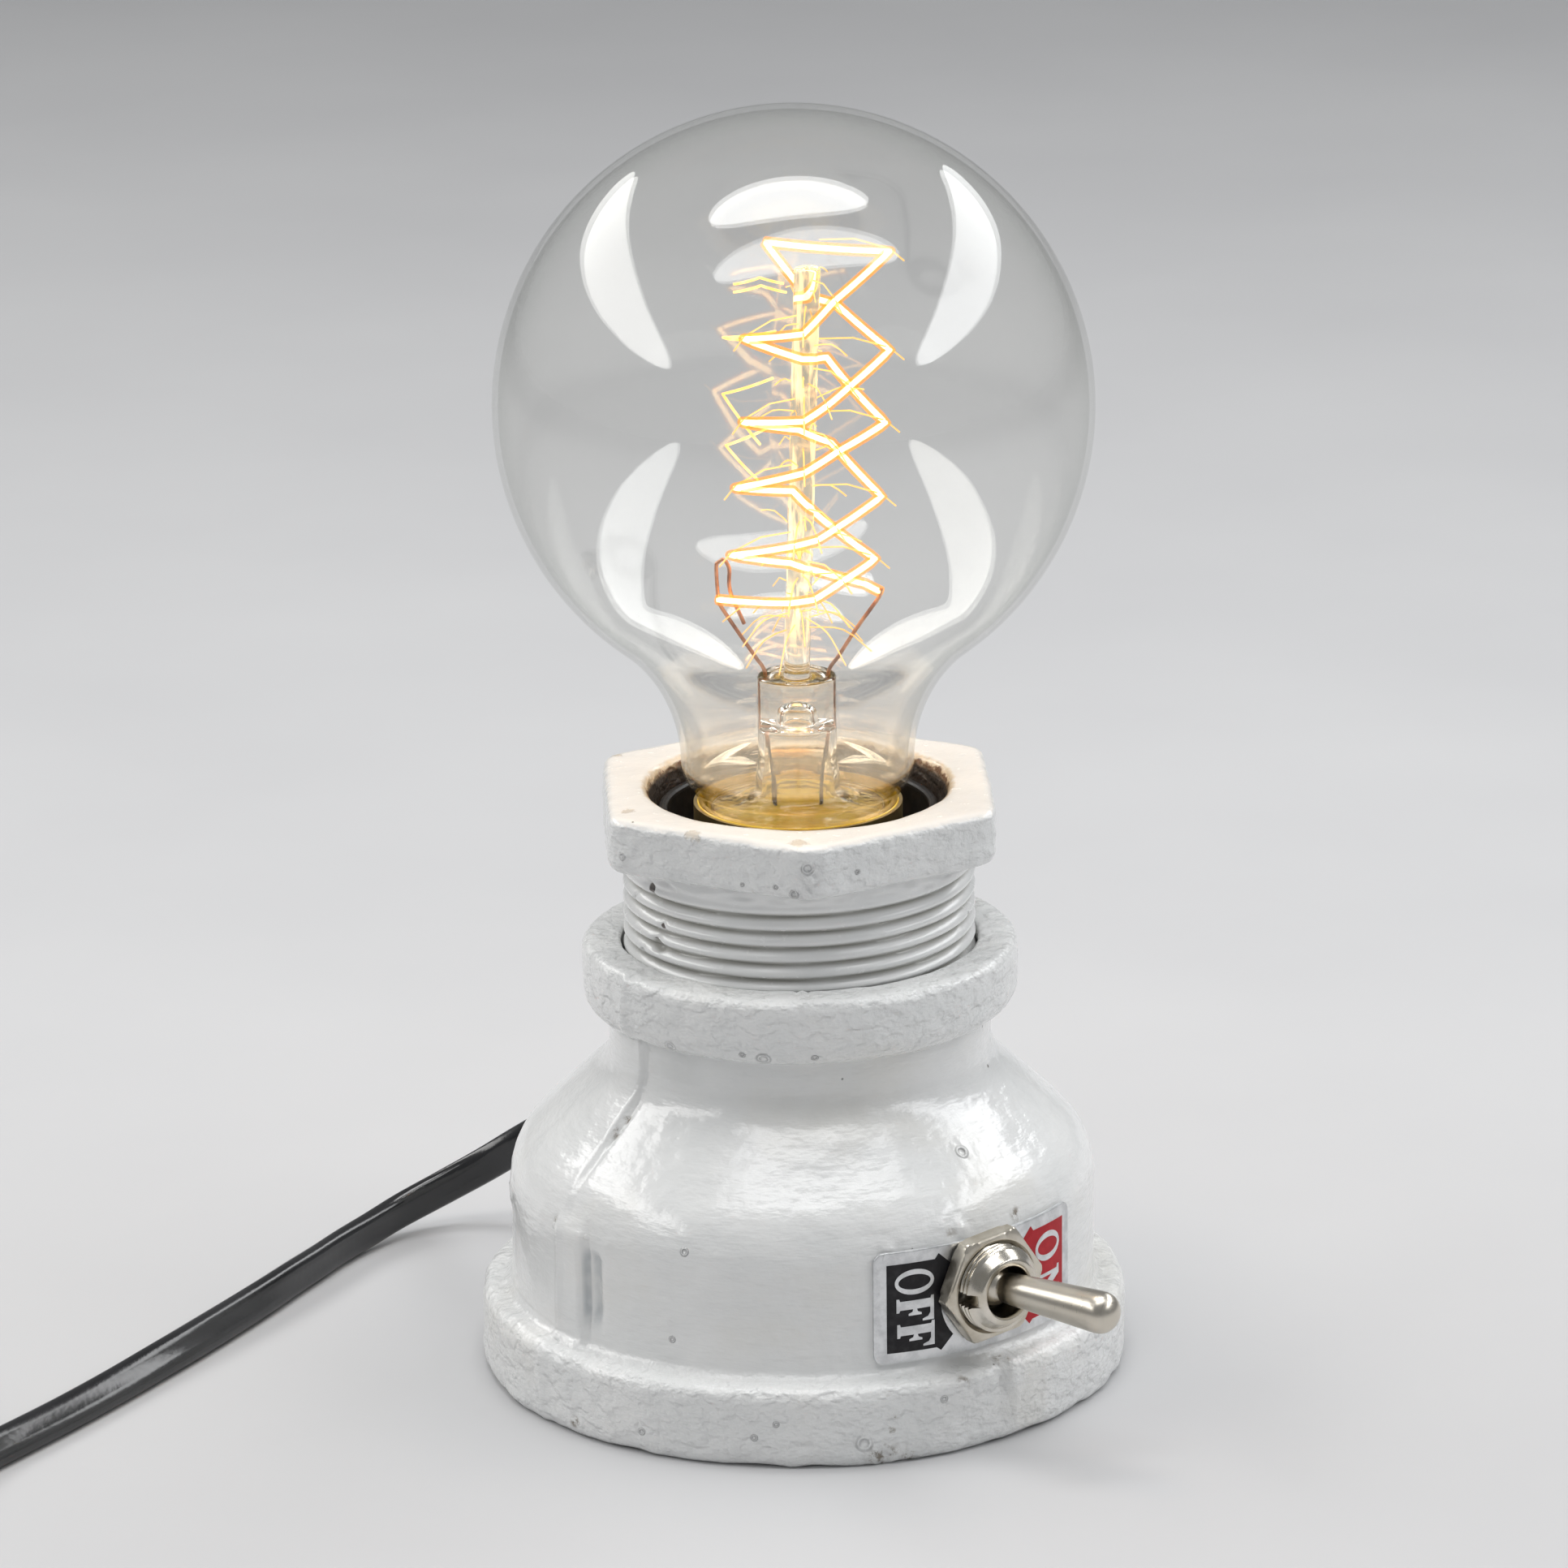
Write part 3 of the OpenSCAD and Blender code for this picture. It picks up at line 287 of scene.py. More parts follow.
cord_line.append(Vector((*coil_exit, 90)))
tail_length, tail_steps, tail_level, plug_middle = 26, 17, 0.38, 6.5
tail_way = coil_heading(coil_turns)
for i in range(1, tail_steps + 1):
    along = i / tail_steps
    ease = (1 - math.cos(math.pi * max(0, along - tail_level) / (1 - tail_level))) / 2
    spot = coil_exit + along * tail_length * tail_way
    cord_line.append(
        Vector((spot.x, spot.y, coil_exit.z + (plug_middle - coil_exit.z) * ease, 90 - 90 * ease))
    )
cord_course = [p.xyz * mm for p in cord_line]
# Two round cores side by side, with a shallow groove between them
lobe, spread = cord_thick / 2, (cord_width - cord_thick) / 2
cord_section = [
    (side * (spread + lobe * math.cos(math.radians(a))), side * lobe * math.sin(math.radians(a)))
    for side in (1, -1)
    for a in (-112, -80, -50, -25, 0, 25, 50, 80, 112)
]

black_pvc = Finish("black_glossy_pvc")
draw_marks = black_pvc.grain(1.2 * mm, detail=3.0)
smears = black_pvc.grain(14 * mm, detail=2.0)
black_pvc.surface(
    black_pvc.blend(smears.fade(0.35, 0.75), (0.009, 0.009, 0.010), (0.022, 0.022, 0.024)),
    0.10 + 0.14 * smears + 0.05 * draw_marks,
    relief=draw_marks,
    depth=0.03 * mm,
    Specular_IOR_Level=0.7,
)

cord = finished(
    "flat_cord",
    swept("flat_cord", cord_course, cord_section, [p.w for p in cord_line]),
    black_pvc, "root", "black_pvc", "cord", "cord_coil", "cord_tail", sharp=60,
)


# ---- Plug and strain relief ----
# A moulded two-blade plug in the cord's own PVC, with finger grooves and folded brass blades,
# and at the other end a tapered relief with flex rings, snapped into the hole in the back wall.
def lofted(form, rings):
    """Extrudes a closed row of vertices from each ring of places to the next, and caps the ends."""
    row = [form.verts.new(place) for place in rings[0]]
    first = edges = [form.edges.new(pair) for pair in zip(row, row[1:] + row[:1])]
    for ring in rings[1:]:
        made = bmesh.ops.extrude_edge_only(form, edges=edges)["geom"]
        row = [item for item in made if isinstance(item, bmesh.types.BMVert)]
        for vert, place in zip(row, ring):
            vert.co = place
        edges = [item for item in made
                 if isinstance(item, bmesh.types.BMEdge) and all(end in row for end in item.verts)]
    return first, edges


def looped(name, rings, placing=Matrix.Identity(4)):
    """A mesh lofted from ring to ring and from the last one back to the first."""
    form = bmesh.new()
    first, last = lofted(form, rings)
    bmesh.ops.bridge_loops(form, edges=first + last)
    return mesh_of(form, name, placing)


def mesh_of(form, name, placing=Matrix.Identity(4)):
    """The finished bmesh as a mesh in its place, with its doubles merged and its faces outwards."""
    bmesh.ops.remove_doubles(form, verts=form.verts, dist=1e-6)
    bmesh.ops.transform(form, matrix=placing, verts=form.verts)
    bmesh.ops.recalc_face_normals(form, faces=form.faces)
    mesh = bpy.data.meshes.new(name)
    form.to_mesh(mesh)
    form.free()
    return mesh


def turned(name, outline, steps=96, fineness=1000, placing=Matrix.Identity(4), closed=True):
    """A solid turned about Z from corners (radius, height, rounding), in millimetres."""
    form = bmesh.new()
    corners = [form.verts.new((radius * mm, 0, height * mm)) for radius, height, _ in outline]
    for a, b in zip(corners, corners[1:] + corners[:1] * closed):
        form.edges.new((a, b))
    for corner, (_, _, rounding) in zip(corners, outline):
        if rounding:
            bmesh.ops.bevel(form, geom=[corner], offset=rounding * mm, offset_type="OFFSET",
                            segments=5, profile=0.5, affect="VERTICES", material=-1)
    for edge in list(form.edges):
        cuts = math.ceil(edge.calc_length() / (fineness * mm)) - 1
        if cuts > 0:
            bmesh.ops.subdivide_edges(form, edges=[edge], cuts=cuts)
    bmesh.ops.spin(form, geom=form.verts[:] + form.edges[:], axis=(0, 0, 1), cent=(0, 0, 0),
                   angle=2 * math.pi, steps=steps, use_merge=True)
    return mesh_of(form, name, placing)


plug_place = (
    Matrix.Translation((coil_exit + tail_length * tail_way) * mm)
    @ Matrix.Rotation(math.atan2(*tail_way.yx), 4, "Z")
)
plug_place.translation.z = plug_middle * mm
plug_rings = []
for x, wide, thick, square in (
    (0.0, 3.4, 2.0, 2.2), (0.6, 4.1, 2.4, 2.4), (3, 4.6, 2.9, 2.6), (3.6, 5.4, 3.3, 2.6),
    (5.5, 6.1, 3.6, 2.8), (6.1, 7.0, 4.0, 2.8), (8, 7.8, 4.4, 3), (10, 8.8, 5.0, 3.2),
    (12, 10.0, 5.6, 3.5), (14, 11.0, 6.1, 4), (16, 11.6, 6.4, 5), (19, 11.9, 6.5, 6),
    (24, 12.0, 6.5, 7), (28.6, 12.0, 6.5, 7), (29.6, 11.8, 6.3, 7), (30, 11.3, 5.8, 7),
):
    plug_rings.append([
        (x * mm, wide * mm * math.copysign(abs(math.cos(a)) ** (2 / square), math.cos(a)),
         thick * mm * math.copysign(abs(math.sin(a)) ** (2 / square), math.sin(a)))
        for a in (2 * math.pi * i / 48 for i in range(48))
    ])
form = bmesh.new()
for row in lofted(form, plug_rings):
    bmesh.ops.holes_fill(form, edges=row, sides=0)
plug = finished("plug_moulding", mesh_of(form, "plug_moulding", plug_place), black_pvc,
                "root", "black_pvc", "plug_body")

relief_place = (
    Matrix.Translation((0, 0, relief_tip[2])) @ Matrix.Rotation(math.radians(-90), 4, "X")
)
relief_outline = [(0, 30.1, 0), (3.7, 30.1, 0.5), (4.1, 33.2, 0), (6.4, 33.4, 0.4),
                  (6.4, 34.9, 0.2), (4.85, 34.95, 0), (4.85, 40.1, 0), (6.35, 40.1, 0.3),
                  (6.2, 41.4, 0.5), (5.0, 42.2, 0.4)]
for k in range(4):
    radius = 4.85 - 0.42 * k
    relief_outline += [(radius, 43.0 + 1.7 * k, 0.2), (radius - 0.75, 43.2 + 1.7 * k, 0.15),
                       (radius - 0.85, 43.9 + 1.7 * k, 0.15), (radius - 0.35, 44.1 + 1.7 * k, 0.2)]
relief_outline += [(2.95, 49.9, 0.4), (0, 49.9, 0)]
relief = finished(
    "strain_relief",
    turned("strain_relief", relief_outline, steps=48, placing=relief_place, closed=False),
    black_pvc, "root", "black_pvc", "cord_relief")


# ---- Bell reducer ----
# Malleable iron pipe fitting, sand cast in two halves and brushed with thick gloss paint. The
# paint shows the casting's lumps, the parting line on both sides, small craters and drips.
foot_radius, body_radius = 44.2, 40
casting_outline = [
    (35.2, 0, 0.5), (foot_radius, 0, 1.7), (foot_radius, 11, 1.9), (body_radius, 11, 1.7),
    (body_radius, 30.4, 4.5), (26, 43.6, 2.6), (26, 50.8, 0.4), (29.5, 50.8, 3.0),
    (29.5, 60, 1.3), (24.15, 60, 0.6), (24.15, 48.5, 0), (21.6, 47.5, 1.0), (21.6, 40.4, 1.0),
    (35.7, 29.2, 3.0), (35.7, 13.2, 0), (35.2, 12, 0.6),
]


def crater(place, spot, radius, depth):
    """A burst paint bubble: a dip with a raised ring round it."""
    reach = (place - spot).length / radius
    return depth * (0.8 * math.exp(-((reach - 0.85) / 0.3) ** 2) - math.exp(-(reach / 0.55) ** 2))


def step(value, start, end):
    share = min(1, max(0, (value - start) / (end - start)))
    return share * share * (3 - 2 * share)


def outside_at(turn, out, height):
    """A place out from the lamp's axis; turn is from the front round to the right, in degrees."""
    a = math.radians(turn)
    return Vector((math.sin(a) * out, -math.cos(a) * out, height))


# Craters and blobs of paint: turn, height, size, depth
paint_blobs = [
    (3.9, 37.3, 1.0, 0.2), (-63.4, 17.3, 0.8, -0.35), (1.7, 8.8, 1.5, -0.5), (0.6, 5.9, 1.2, -0.4),
    (-23, 1.6, 1.8, 0.4), (-28, 4.6, 1.2, 0.2), (-60, 58.6, 1.0, -0.25), (-36, 59.6, 0.9, -0.25),
    (-20, 28.6, 1.6, -0.25), (-4, 29.4, 1.8, -0.3),
    (35, 4, 1.2, -0.4), (60, 20, 0.9, -0.35), (110, 34, 1.1, 0.35), (150, 14, 0.9, -0.4),
    (-120, 25, 1.0, 0.35), (-150, 6, 1.3, -0.4), (85, 56, 0.9, 0.3), (-165, 55, 1.0, -0.3),
]


def casting_relief(place, normal):
    """How far the painted casting stands out of its turned shape, in millimetres."""
    x, y, z = place
    radius = math.hypot(x, y)
    side = 1 if x > 0 else -1
    outside = normal.x * x + normal.y * y > 0 or z > 1 and normal.z > 0.5
    lump = 0.26 * noise.noise(place * 0.045) + 0.15 * noise.noise(place * 0.16)
    band = step(radius, 42, 43.5) + step(z, 50, 52) * (1 - step(z, 59, 61))
    fine = 0.05 * noise.noise(place * 0.45)
    fine += band * 0.10 * noise.noise(place * 0.42 + Vector((9, 4, 2)))
    lift = lump + fine
    if not outside:
        return lift
    # the parting line: a thin fin, and the back half stands a little proud of the front one
    wander = 0.35 * noise.noise(Vector((3.1, side, z * 0.12)))
    wander += 0.25 * noise.noise(Vector((4.2, side, z * 0.6)))
    from_line = y - wander
    on_neck = step(z, 36, 41) * (1 - band)
    back_half = step(from_line, -0.4, 0.3) * (1 - step(from_line, 4, 18))
    lift += (0.24 + 0.32 * on_neck) * back_half * (1 - band)
    lift += (0.05 + 0.14 * band) * math.exp(-(from_line / 0.8) ** 2)
    ragged = 0.7 + 0.9 * noise.noise(Vector((1.7, side, z * 0.55)))
    gash = 0.06 + 0.16 * step(z, 27, 29) + 0.34 * step(z, 35.5, 38.5) * (1 - step(z, 41, 43.5))
    lift -= gash * ragged * math.exp(-((from_line + 0.6) / 0.42) ** 2) * (1 - band)
    lift -= 0.12 * band * math.exp(-((from_line + 2.0) / 0.9) ** 2)
    # the raised strip in front of the line, flat on its face, with a groove along its far edge
    strip = step(-y, -1.4, -0.5) * (1 - step(-y, 4.1, 4.9))
    strip *= step(z, 8.5, 10.5) * (1 - step(z, 26.6, 29.0)) * step(abs(x), 30, 33)
    if radius < 41.5:
        off_face = math.asin(min(1, max(-1, -y / radius))) - math.radians(3.1)
        lift += strip * (40.75 / math.cos(off_face) - body_radius)
        crease = math.exp(-((-y - 4.9) / 0.5) ** 2)
        crease *= step(z, 12.5, 14.5) * (1 - step(z, 24.8, 26.6))
        groove = math.exp(-((-y - 6.4) / 1.0) ** 2)
        groove *= step(z, 14.0, 17.0) * (1 - step(z, 23.8, 25.6))
        lift -= (0.45 * crease + 0.95 * groove) * step(abs(x), 30, 33)
    # a ridge of thick paint runs down the foot below the switch, and drips hang at its lower edge
    ridge_way = math.radians(1.5 + 1.2 * noise.noise(Vector((5, 5, z * 0.4))))
    beside = x - math.tan(ridge_way) * -y
    if y < 0 and z < 12:
        lift += band * (0.35 * math.exp(-((beside - 0.9) / 0.8) ** 2)
                        - 0.3 * math.exp(-((beside + 1.1) / 0.8) ** 2)) * step(z, 2.5, 4)
    if z < 4:
        lift += (4 - z) / 4 * 0.38 * noise.noise(Vector((x * 0.22, y * 0.22, 7.7)))
    for turn, height, size, depth in paint_blobs:
        spot = outside_at(turn, radius, height)
        if abs(height - z) < 3 * size and (place - spot).length < 3 * size:
            lift += crater(place, spot, size, depth)
    return lift


def settle(mesh, relief):
    """Moves each vertex along its normal by relief(place, normal), both in millimetres."""
    normals = [Vector(normal.vector) for normal in mesh.vertex_normals]
    moves = [relief(vert.co / mm, normal) * mm * normal
             for vert, normal in zip(mesh.vertices, normals)]
    for vert, move in zip(mesh.vertices, moves):
        vert.co += move
        vert.co.z = max(vert.co.z, 0.0)
    mesh.update()


white_paint = Finish("white_gloss_paint")
upright = white_paint.axis("Z")
cast_skin = white_paint.grain(1.8 * mm, detail=4.0, roughness=0.55)
pebbles = white_paint.grain(2.3 * mm, detail=2.5, stretch=(1.25, 1.25, 0.8)).fade(0.40, 0.64)
brushed = white_paint.grain(1.5 * mm, detail=3.0, roughness=0.6, stretch=(4, 4, 1))
peel = white_paint.grain(5.0 * mm, detail=2.0)
soft_lumps = white_paint.grain(11 * mm, detail=3.0)
band_mask = 1 - upright.fade(10.5 * mm, 12.5 * mm) + upright.fade(50 * mm, 52 * mm)
pinholes = white_paint.specks(5.2 * mm, 0.16, 0.27 * mm)
bubbles = white_paint.specks(7.7 * mm, 0.3, 0.55 * mm)
paint_height = (
    (cast_skin - 0.5) * (0.12 + 0.45 * band_mask) + pebbles * (0.02 + 0.24 * band_mask)
    + (brushed - 0.5) * 0.22 + (peel - 0.5) * 0.34 + (soft_lumps - 0.5) * 0.2
    + bubbles * 0.08 - pinholes * 0.25
)


def burst(finish, turn, out, height, size, dip=0.0):
    """A ring of paint left by a burst bubble; turn is from the front round to the right."""
    spot = outside_at(turn, out, height) * mm
    facing = outside_at(turn, 1, -dip).normalized()
    beside = finish.node("ShaderNodeVectorMath", {"operation": "SUBTRACT"},
                         {0: finish.place, 1: spot})
    beside = finish.node("ShaderNodeVectorMath", {"operation": "CROSS_PRODUCT"},
                         {0: beside, 1: facing})
    beside = finish.node("ShaderNodeVectorMath", {"operation": "LENGTH"}, {0: beside},
                         output="Value")
    rim = beside.fade(0.4 * size * mm, 0.75 * size * mm)
    rim = rim * (1 - beside.fade(0.8 * size * mm, 1.25 * size * mm))
    ring = rim - 0.4 * (1 - beside.fade(0.1 * size * mm, 0.5 * size * mm))
    return ring * (1 - finish.away(spot / mm).fade(3 * mm, 4 * mm))


for turn, out, height, size, dip in (
    (-73.4, 28.9, 52.2, 0.80, 0.6), (-46.4, 28.9, 52.2, 0.90, 0.6), (-52, 28.9, 52.7, 0.40, 0.4),
    (-33, 28.9, 52.5, 0.45, 0.5), (3.9, 32.7, 37.3, 0.90, -0.9), (-59.9, 40, 28, 0.55, 0),
    (-62.6, 40, 15.4, 0.45, 0), (-41.6, 44.2, 6.4, 0.4, 0), (-45.4, 44.2, 4.4, 0.45, 0),
    (-12, 44.2, 8.2, 0.5, 0), (-26.5, 44.1, 3.4, 1.05, 0), (-66, 44.1, 3.4, 0.5, 0),
):
    paint_height = paint_height + 0.38 * burst(white_paint, turn, out, height, size, dip)
paint_tone = white_paint.blend(
    soft_lumps.fade(0.3, 0.7), (0.82, 0.828, 0.822), (0.87, 0.872, 0.864)
)
paint_tone = white_paint.blend(
    white_paint.grain(23 * mm, detail=5.0).fade(0.52, 0.72) * 0.5, paint_tone, (0.77, 0.755, 0.70)
)
stain_and_shade_grain = white_paint.grain(1.6 * mm, detail=5.0, roughness=0.7)
# brown dirt where the paint is chipped, under the nut and at the foot's edge; the two spots just
# above the plate and the three on the left seam are painted shade
stains_and_shade = 0.0
for spot, reach in (((-17.4, -40.7, 0.9), 3.2), ((-13.8, -42.0, 0.6), 1.8),
                    ((-6.3, -43.8, 9.9), 1.5), ((1.4, -42.2, 11.0), 1.7),
                    ((-16.3, -41.2, 6.6), 0.8), ((-16.4, -41.2, 5.0), 0.8),
                    ((-4.6, -39.6, 29.6), 1.3), ((6.6, -39.1, 29.4), 1.5), ((-43.6, -7, 2.0), 1.2),
                    ((-31.2, -0.7, 38.4), 1.2), ((-29.6, -0.7, 40.0), 0.9),
                    ((-39.9, 1.2, 27.4), 1.1)):
    stains_and_shade = (1 - white_paint.away(spot).fade(0.3 * reach * mm, reach * mm)) + stains_and_shade
stains_and_shade = stains_and_shade * stain_and_shade_grain.fade(0.44, 0.60)
# painted shade: the groove and the crease beside the raised strip on the left are painted dark grey
crosswise = white_paint.axis("Y")
in_groove = crosswise.fade(-7.8 * mm, -6.8 * mm) * (1 - crosswise.fade(-6.0 * mm, -5.3 * mm))
in_crease = crosswise.fade(-5.3 * mm, -4.9 * mm) * (1 - crosswise.fade(-4.7 * mm, -4.3 * mm))
groove_shade = (in_groove * 0.75 + in_crease) * (1 - white_paint.axis("X").fade(-38 * mm, -34 * mm))
groove_shade = groove_shade * upright.fade(13 * mm, 17 * mm) * (1 - upright.fade(23.6 * mm, 26 * mm))
groove_shade = groove_shade * (0.45 + 0.55 * peel.fade(0.4, 0.6))
paint_tone = white_paint.blend(groove_shade * 0.6, paint_tone, (0.30, 0.34, 0.37))
paint_tone = white_paint.blend(pinholes * 0.9, paint_tone, (0.11, 0.09, 0.075))
white_paint.surface(
    white_paint.blend(stains_and_shade * 0.85, paint_tone, (0.16, 0.12, 0.075)),
    0.12 + 0.13 * brushed + 0.18 * band_mask * peel + (pinholes + stains_and_shade) * 0.3,
    relief=paint_height,
    depth=0.85 * mm,
    Coat_Weight=0.35,
    Coat_Roughness=0.10,
)

casting = turned("reducer_casting", casting_outline, steps=400, fineness=1.0)
settle(casting, casting_relief)
finished("reducer_casting", casting, white_paint, "root", "white_paint", "reducer", sharp=70)


# ---- Hex bushing ----
# Malleable iron bushing screwed into the reducer's mouth and painted with it. The paint has
# filled the pipe thread to soft rounded ridges, and is chipped in a few places on the left.
bore_radius, crest_radius, thread_pitch = 20.0, 24.0, 2.209
thread_end = crest_radius - 0.1
hex_top, hex_flats, hex_corner, hex_turn = 81.4, 52.0, 29.4, 55.7


def hex_radius(angle, flats, corner):
    """Radius of a hexagon whose corners are cut back to the corner radius and softened."""
    across = (math.degrees(angle) - hex_turn + 30) % 60 - 30
    flat = flats / 2 / math.cos(math.radians(30 - abs(across)))
    soft = 0.45
    return -soft * math.log(math.exp(-flat / soft) + math.exp(-corner / soft))


def thread_radius(angle, height):
    """The painted pipe thread: a soft right-hand ridge that dies out below the hexagon."""
    turn = (height / thread_pitch - angle / (2 * math.pi)) % 1
    ridge = (0.5 - 0.5 * math.cos(2 * math.pi * turn)) ** 0.62
    depth = 1.2 * (1 - step(height, 70.4, 72.0))
    return crest_radius - 0.12 - depth * (1 - ridge)


def ring_of(places, height, radius_at):
    """A row of places round Z at one height; radius_at gives the radius at an angle, both in mm."""
    angles = (2 * math.pi * i / places for i in range(places))
    return [(radius_at(a) * math.cos(a) * mm, radius_at(a) * math.sin(a) * mm, height * mm)
            for a in angles]


bushing_rings = []


def bushing_ring(height, radius_at):
    bushing_rings.append(ring_of(360, height, radius_at))


for k in range(7):
    bushing_ring(52 + 0.2 * (k == 0), lambda a: bore_radius + 0.5 * k)
height = 52.6
while height < 72.9:
    bushing_ring(height, lambda a: thread_radius(a, height))
    height += 0.24
for share, height in ((0.0, 73.3), (0.06, 73.75), (0.25, 73.95), (0.5, 74.0), (0.75, 74.03)):
    bushing_ring(height, lambda a: thread_end + share * (hex_radius(a, 50.4, 28.2) - thread_end))
for inset, height in ((0.55, 74.08), (0.25, 74.3), (0.08, 74.6)):
    bushing_ring(height, lambda a: hex_radius(a, hex_flats, 29.3) - inset)
for k in range(9):
    bushing_ring(75.0 + 5.4 * k / 8, lambda a: hex_radius(a, hex_flats, hex_corner))
for inset, height in ((0.09, 80.75), (0.3, 81.05), (0.62, 81.27), (1.0, 81.37), (1.5, hex_top)):
    bushing_ring(height, lambda a: hex_radius(a, hex_flats, hex_corner) - inset)
for k in range(1, 8):
    bushing_ring(hex_top, lambda a: hex_radius(a, hex_flats, hex_corner) - 1.5
                 + k / 8 * (21.6 - hex_radius(a, hex_flats, hex_corner) + 1.5))
for radius, height in ((21.3, 81.38), (21.0, 81.28), (20.7, 81.05), (20.45, 80.8), (20.25, 80.4)):
    bushing_ring(height, lambda a: radius)
for k in range(15):
    bushing_ring(79.6 - 27.4 * k / 14, lambda a: bore_radius)


def bushing_relief(place, normal):
    """Lumps of the cast hexagon, the paint's ragged edge below it, and chips in the thread."""
    x, y, z = place
    radius = math.hypot(x, y)
    if radius < 20.6:
        return 0.0
    hexagon = step(z, 73.4, 74.2)
    on_face = hexagon * (1 - abs(normal.z))
    lift = 0.20 * noise.noise(place * 0.09) + (0.05 + 0.12 * on_face) * noise.noise(place * 0.30)
    lift += on_face * (0.14 * noise.noise(place * 0.6) + 0.05 * noise.noise(place * 1.4))
    lift *= 0.35 + 0.65 * hexagon
    drip = step(z, 71.2, 72.6) * (1 - hexagon)
    lift += drip * (0.55 * noise.noise(Vector((x * 0.4, y * 0.4, z))) + 0.15)
    if hexagon and abs(normal.z) < 0.5:
        for turn, height, size, depth in ((-34.4, 78.6, 0.85, 0.45), (-33.6, 76.9, 1.1, -0.4),
                                          (-38.0, 74.9, 0.6, 0.45), (-34.2, 74.8, 0.9, -0.35),
                                          (-90.6, 76.7, 0.6, 0.6), (-53, 75.3, 0.25, 0.4),
                                          (-43, 75.6, 0.25, 0.3), (-20, 77.0, 0.3, 0.3)):
            spot = outside_at(turn, radius, height)
            if (place - spot).length < 3 * size:
                lift += crater(place, spot, size, depth)
    for turn, height, wide in ((-104.6, 68.4, 0.35), (-93.2, 70.9, 0.75), (-98.9, 61.6, 0.3),
                               (-90.6, 63.4, 0.95), (-87, 66.2, 0.4), (37.3, 64.5, 0.45)):
        away = (place - outside_at(turn, radius, height)).length
        lift -= 0.9 * math.exp(-(away / wide) ** 2)
    return lift


bushing = looped("hex_bushing_casting", bushing_rings)
settle(bushing, bushing_relief)

bushing_paint = Finish("white_paint_on_bushing")
across_bore = bushing_paint.node(
    "ShaderNodeVectorMath", {"operation": "LENGTH"},
    {0: bushing_paint.node("ShaderNodeVectorMath", {"operation": "MULTIPLY"},
                           {0: bushing_paint.place, 1: (1, 1, 0)})}, output="Value")
upright = bushing_paint.axis("Z")
cast_skin = bushing_paint.grain(1.5 * mm, detail=4.0, roughness=0.6)
peel = bushing_paint.grain(4.5 * mm, detail=2.0)
pebbles = bushing_paint.grain(2.0 * mm, detail=2.5, stretch=(1.25, 1.25, 0.8)).fade(0.40, 0.64)
soft_lumps = bushing_paint.grain(10 * mm, detail=3.0)
pinholes = bushing_paint.specks(4.6 * mm, 0.14, 0.24 * mm)
on_hexagon = upright.fade(73 * mm, 74 * mm)
# bare, rusty iron and yellowed paint along the mouth of the bore, inside a ragged line
edge = across_bore + (cast_skin - 0.5) * (1.5 * mm) + (soft_lumps - 0.5) * (1.6 * mm)
yellowed = (1 - edge.fade(20.5 * mm, 21.4 * mm)) * upright.fade(78.5 * mm, 80.2 * mm)
rusty = (1 - edge.fade(20.1 * mm, 20.5 * mm)) * upright.fade(79.2 * mm, 80.6 * mm)
chips = 0.0
for spot, size in (((-25.5, 3.7, 81.3), 1.0), ((-15.7, -21.4, 81.3), 1.5),
                   ((-24.6, -9.5, 81.2), 1.4), ((-11.7, 26.1, 81.4), 1.0),
                   ((15, -12.6, 81.4), 0.8)):
    ragged = bushing_paint.away(spot) + (cast_skin - 0.5) * (3.2 * mm)
    chips = (1 - ragged.fade(0.5 * size * mm, size * mm)) + chips
inside = 1 - across_bore.fade(20.05 * mm, 20.3 * mm)
chipped = 0.0
for turn, height, wide in ((-93.2, 70.9, 0.8), (-90.6, 63.4, 1.0), (-87, 66.2, 0.5),
                           (37.3, 64.5, 0.55)):
    away = bushing_paint.away(outside_at(turn, 23.4, height))
    chipped = (1 - away.fade(0.75 * wide * mm, wide * mm)) + chipped
paint_tone = bushing_paint.blend(soft_lumps.fade(0.3, 0.7), (0.82, 0.828, 0.822),
                                 (0.87, 0.872, 0.864))
# painted shade: the thread's valleys are painted grey
thread_valley_shade = (1 - upright.fade(71 * mm, 73 * mm)) * (1 - across_bore.fade(22.75 * mm, 23.5 * mm))
paint_tone = bushing_paint.blend(thread_valley_shade * 0.75, paint_tone, (0.40, 0.39, 0.35))
paint_tone = bushing_paint.blend(chipped, paint_tone, (0.16, 0.14, 0.13))
paint_tone = bushing_paint.blend(yellowed * 0.8, paint_tone, (0.66, 0.53, 0.34))
paint_tone = bushing_paint.blend(chips * 0.45, paint_tone, (0.48, 0.38, 0.24))
paint_tone = bushing_paint.blend(rusty, paint_tone, (0.17, 0.085, 0.035))
paint_tone = bushing_paint.blend(pinholes * 0.9, paint_tone, (0.11, 0.09, 0.075))
on_sides = on_hexagon * (1 - upright.fade(80.6 * mm, 81.3 * mm))
bushing_height = (
    (cast_skin - 0.5) * (0.08 + 0.35 * on_sides) + pebbles * (0.20 * on_sides)
    + (peel - 0.5) * (0.12 + 0.3 * on_sides)
    + (soft_lumps - 0.5) * 0.1 - pinholes * 0.3 - chips * 0.12
)
for turn, out, height, size in ((-34.4, 29.0, 78.6, 0.85), (-38.0, 28.6, 74.9, 0.6),
                                (-90.6, 27.6, 76.7, 0.55), (-53, 26.6, 75.3, 0.28),
                                (-43, 27.4, 75.6, 0.3), (-20, 27.4, 77.0, 0.35)):
    bushing_height = bushing_height + 0.34 * burst(bushing_paint, turn, out, height, size)
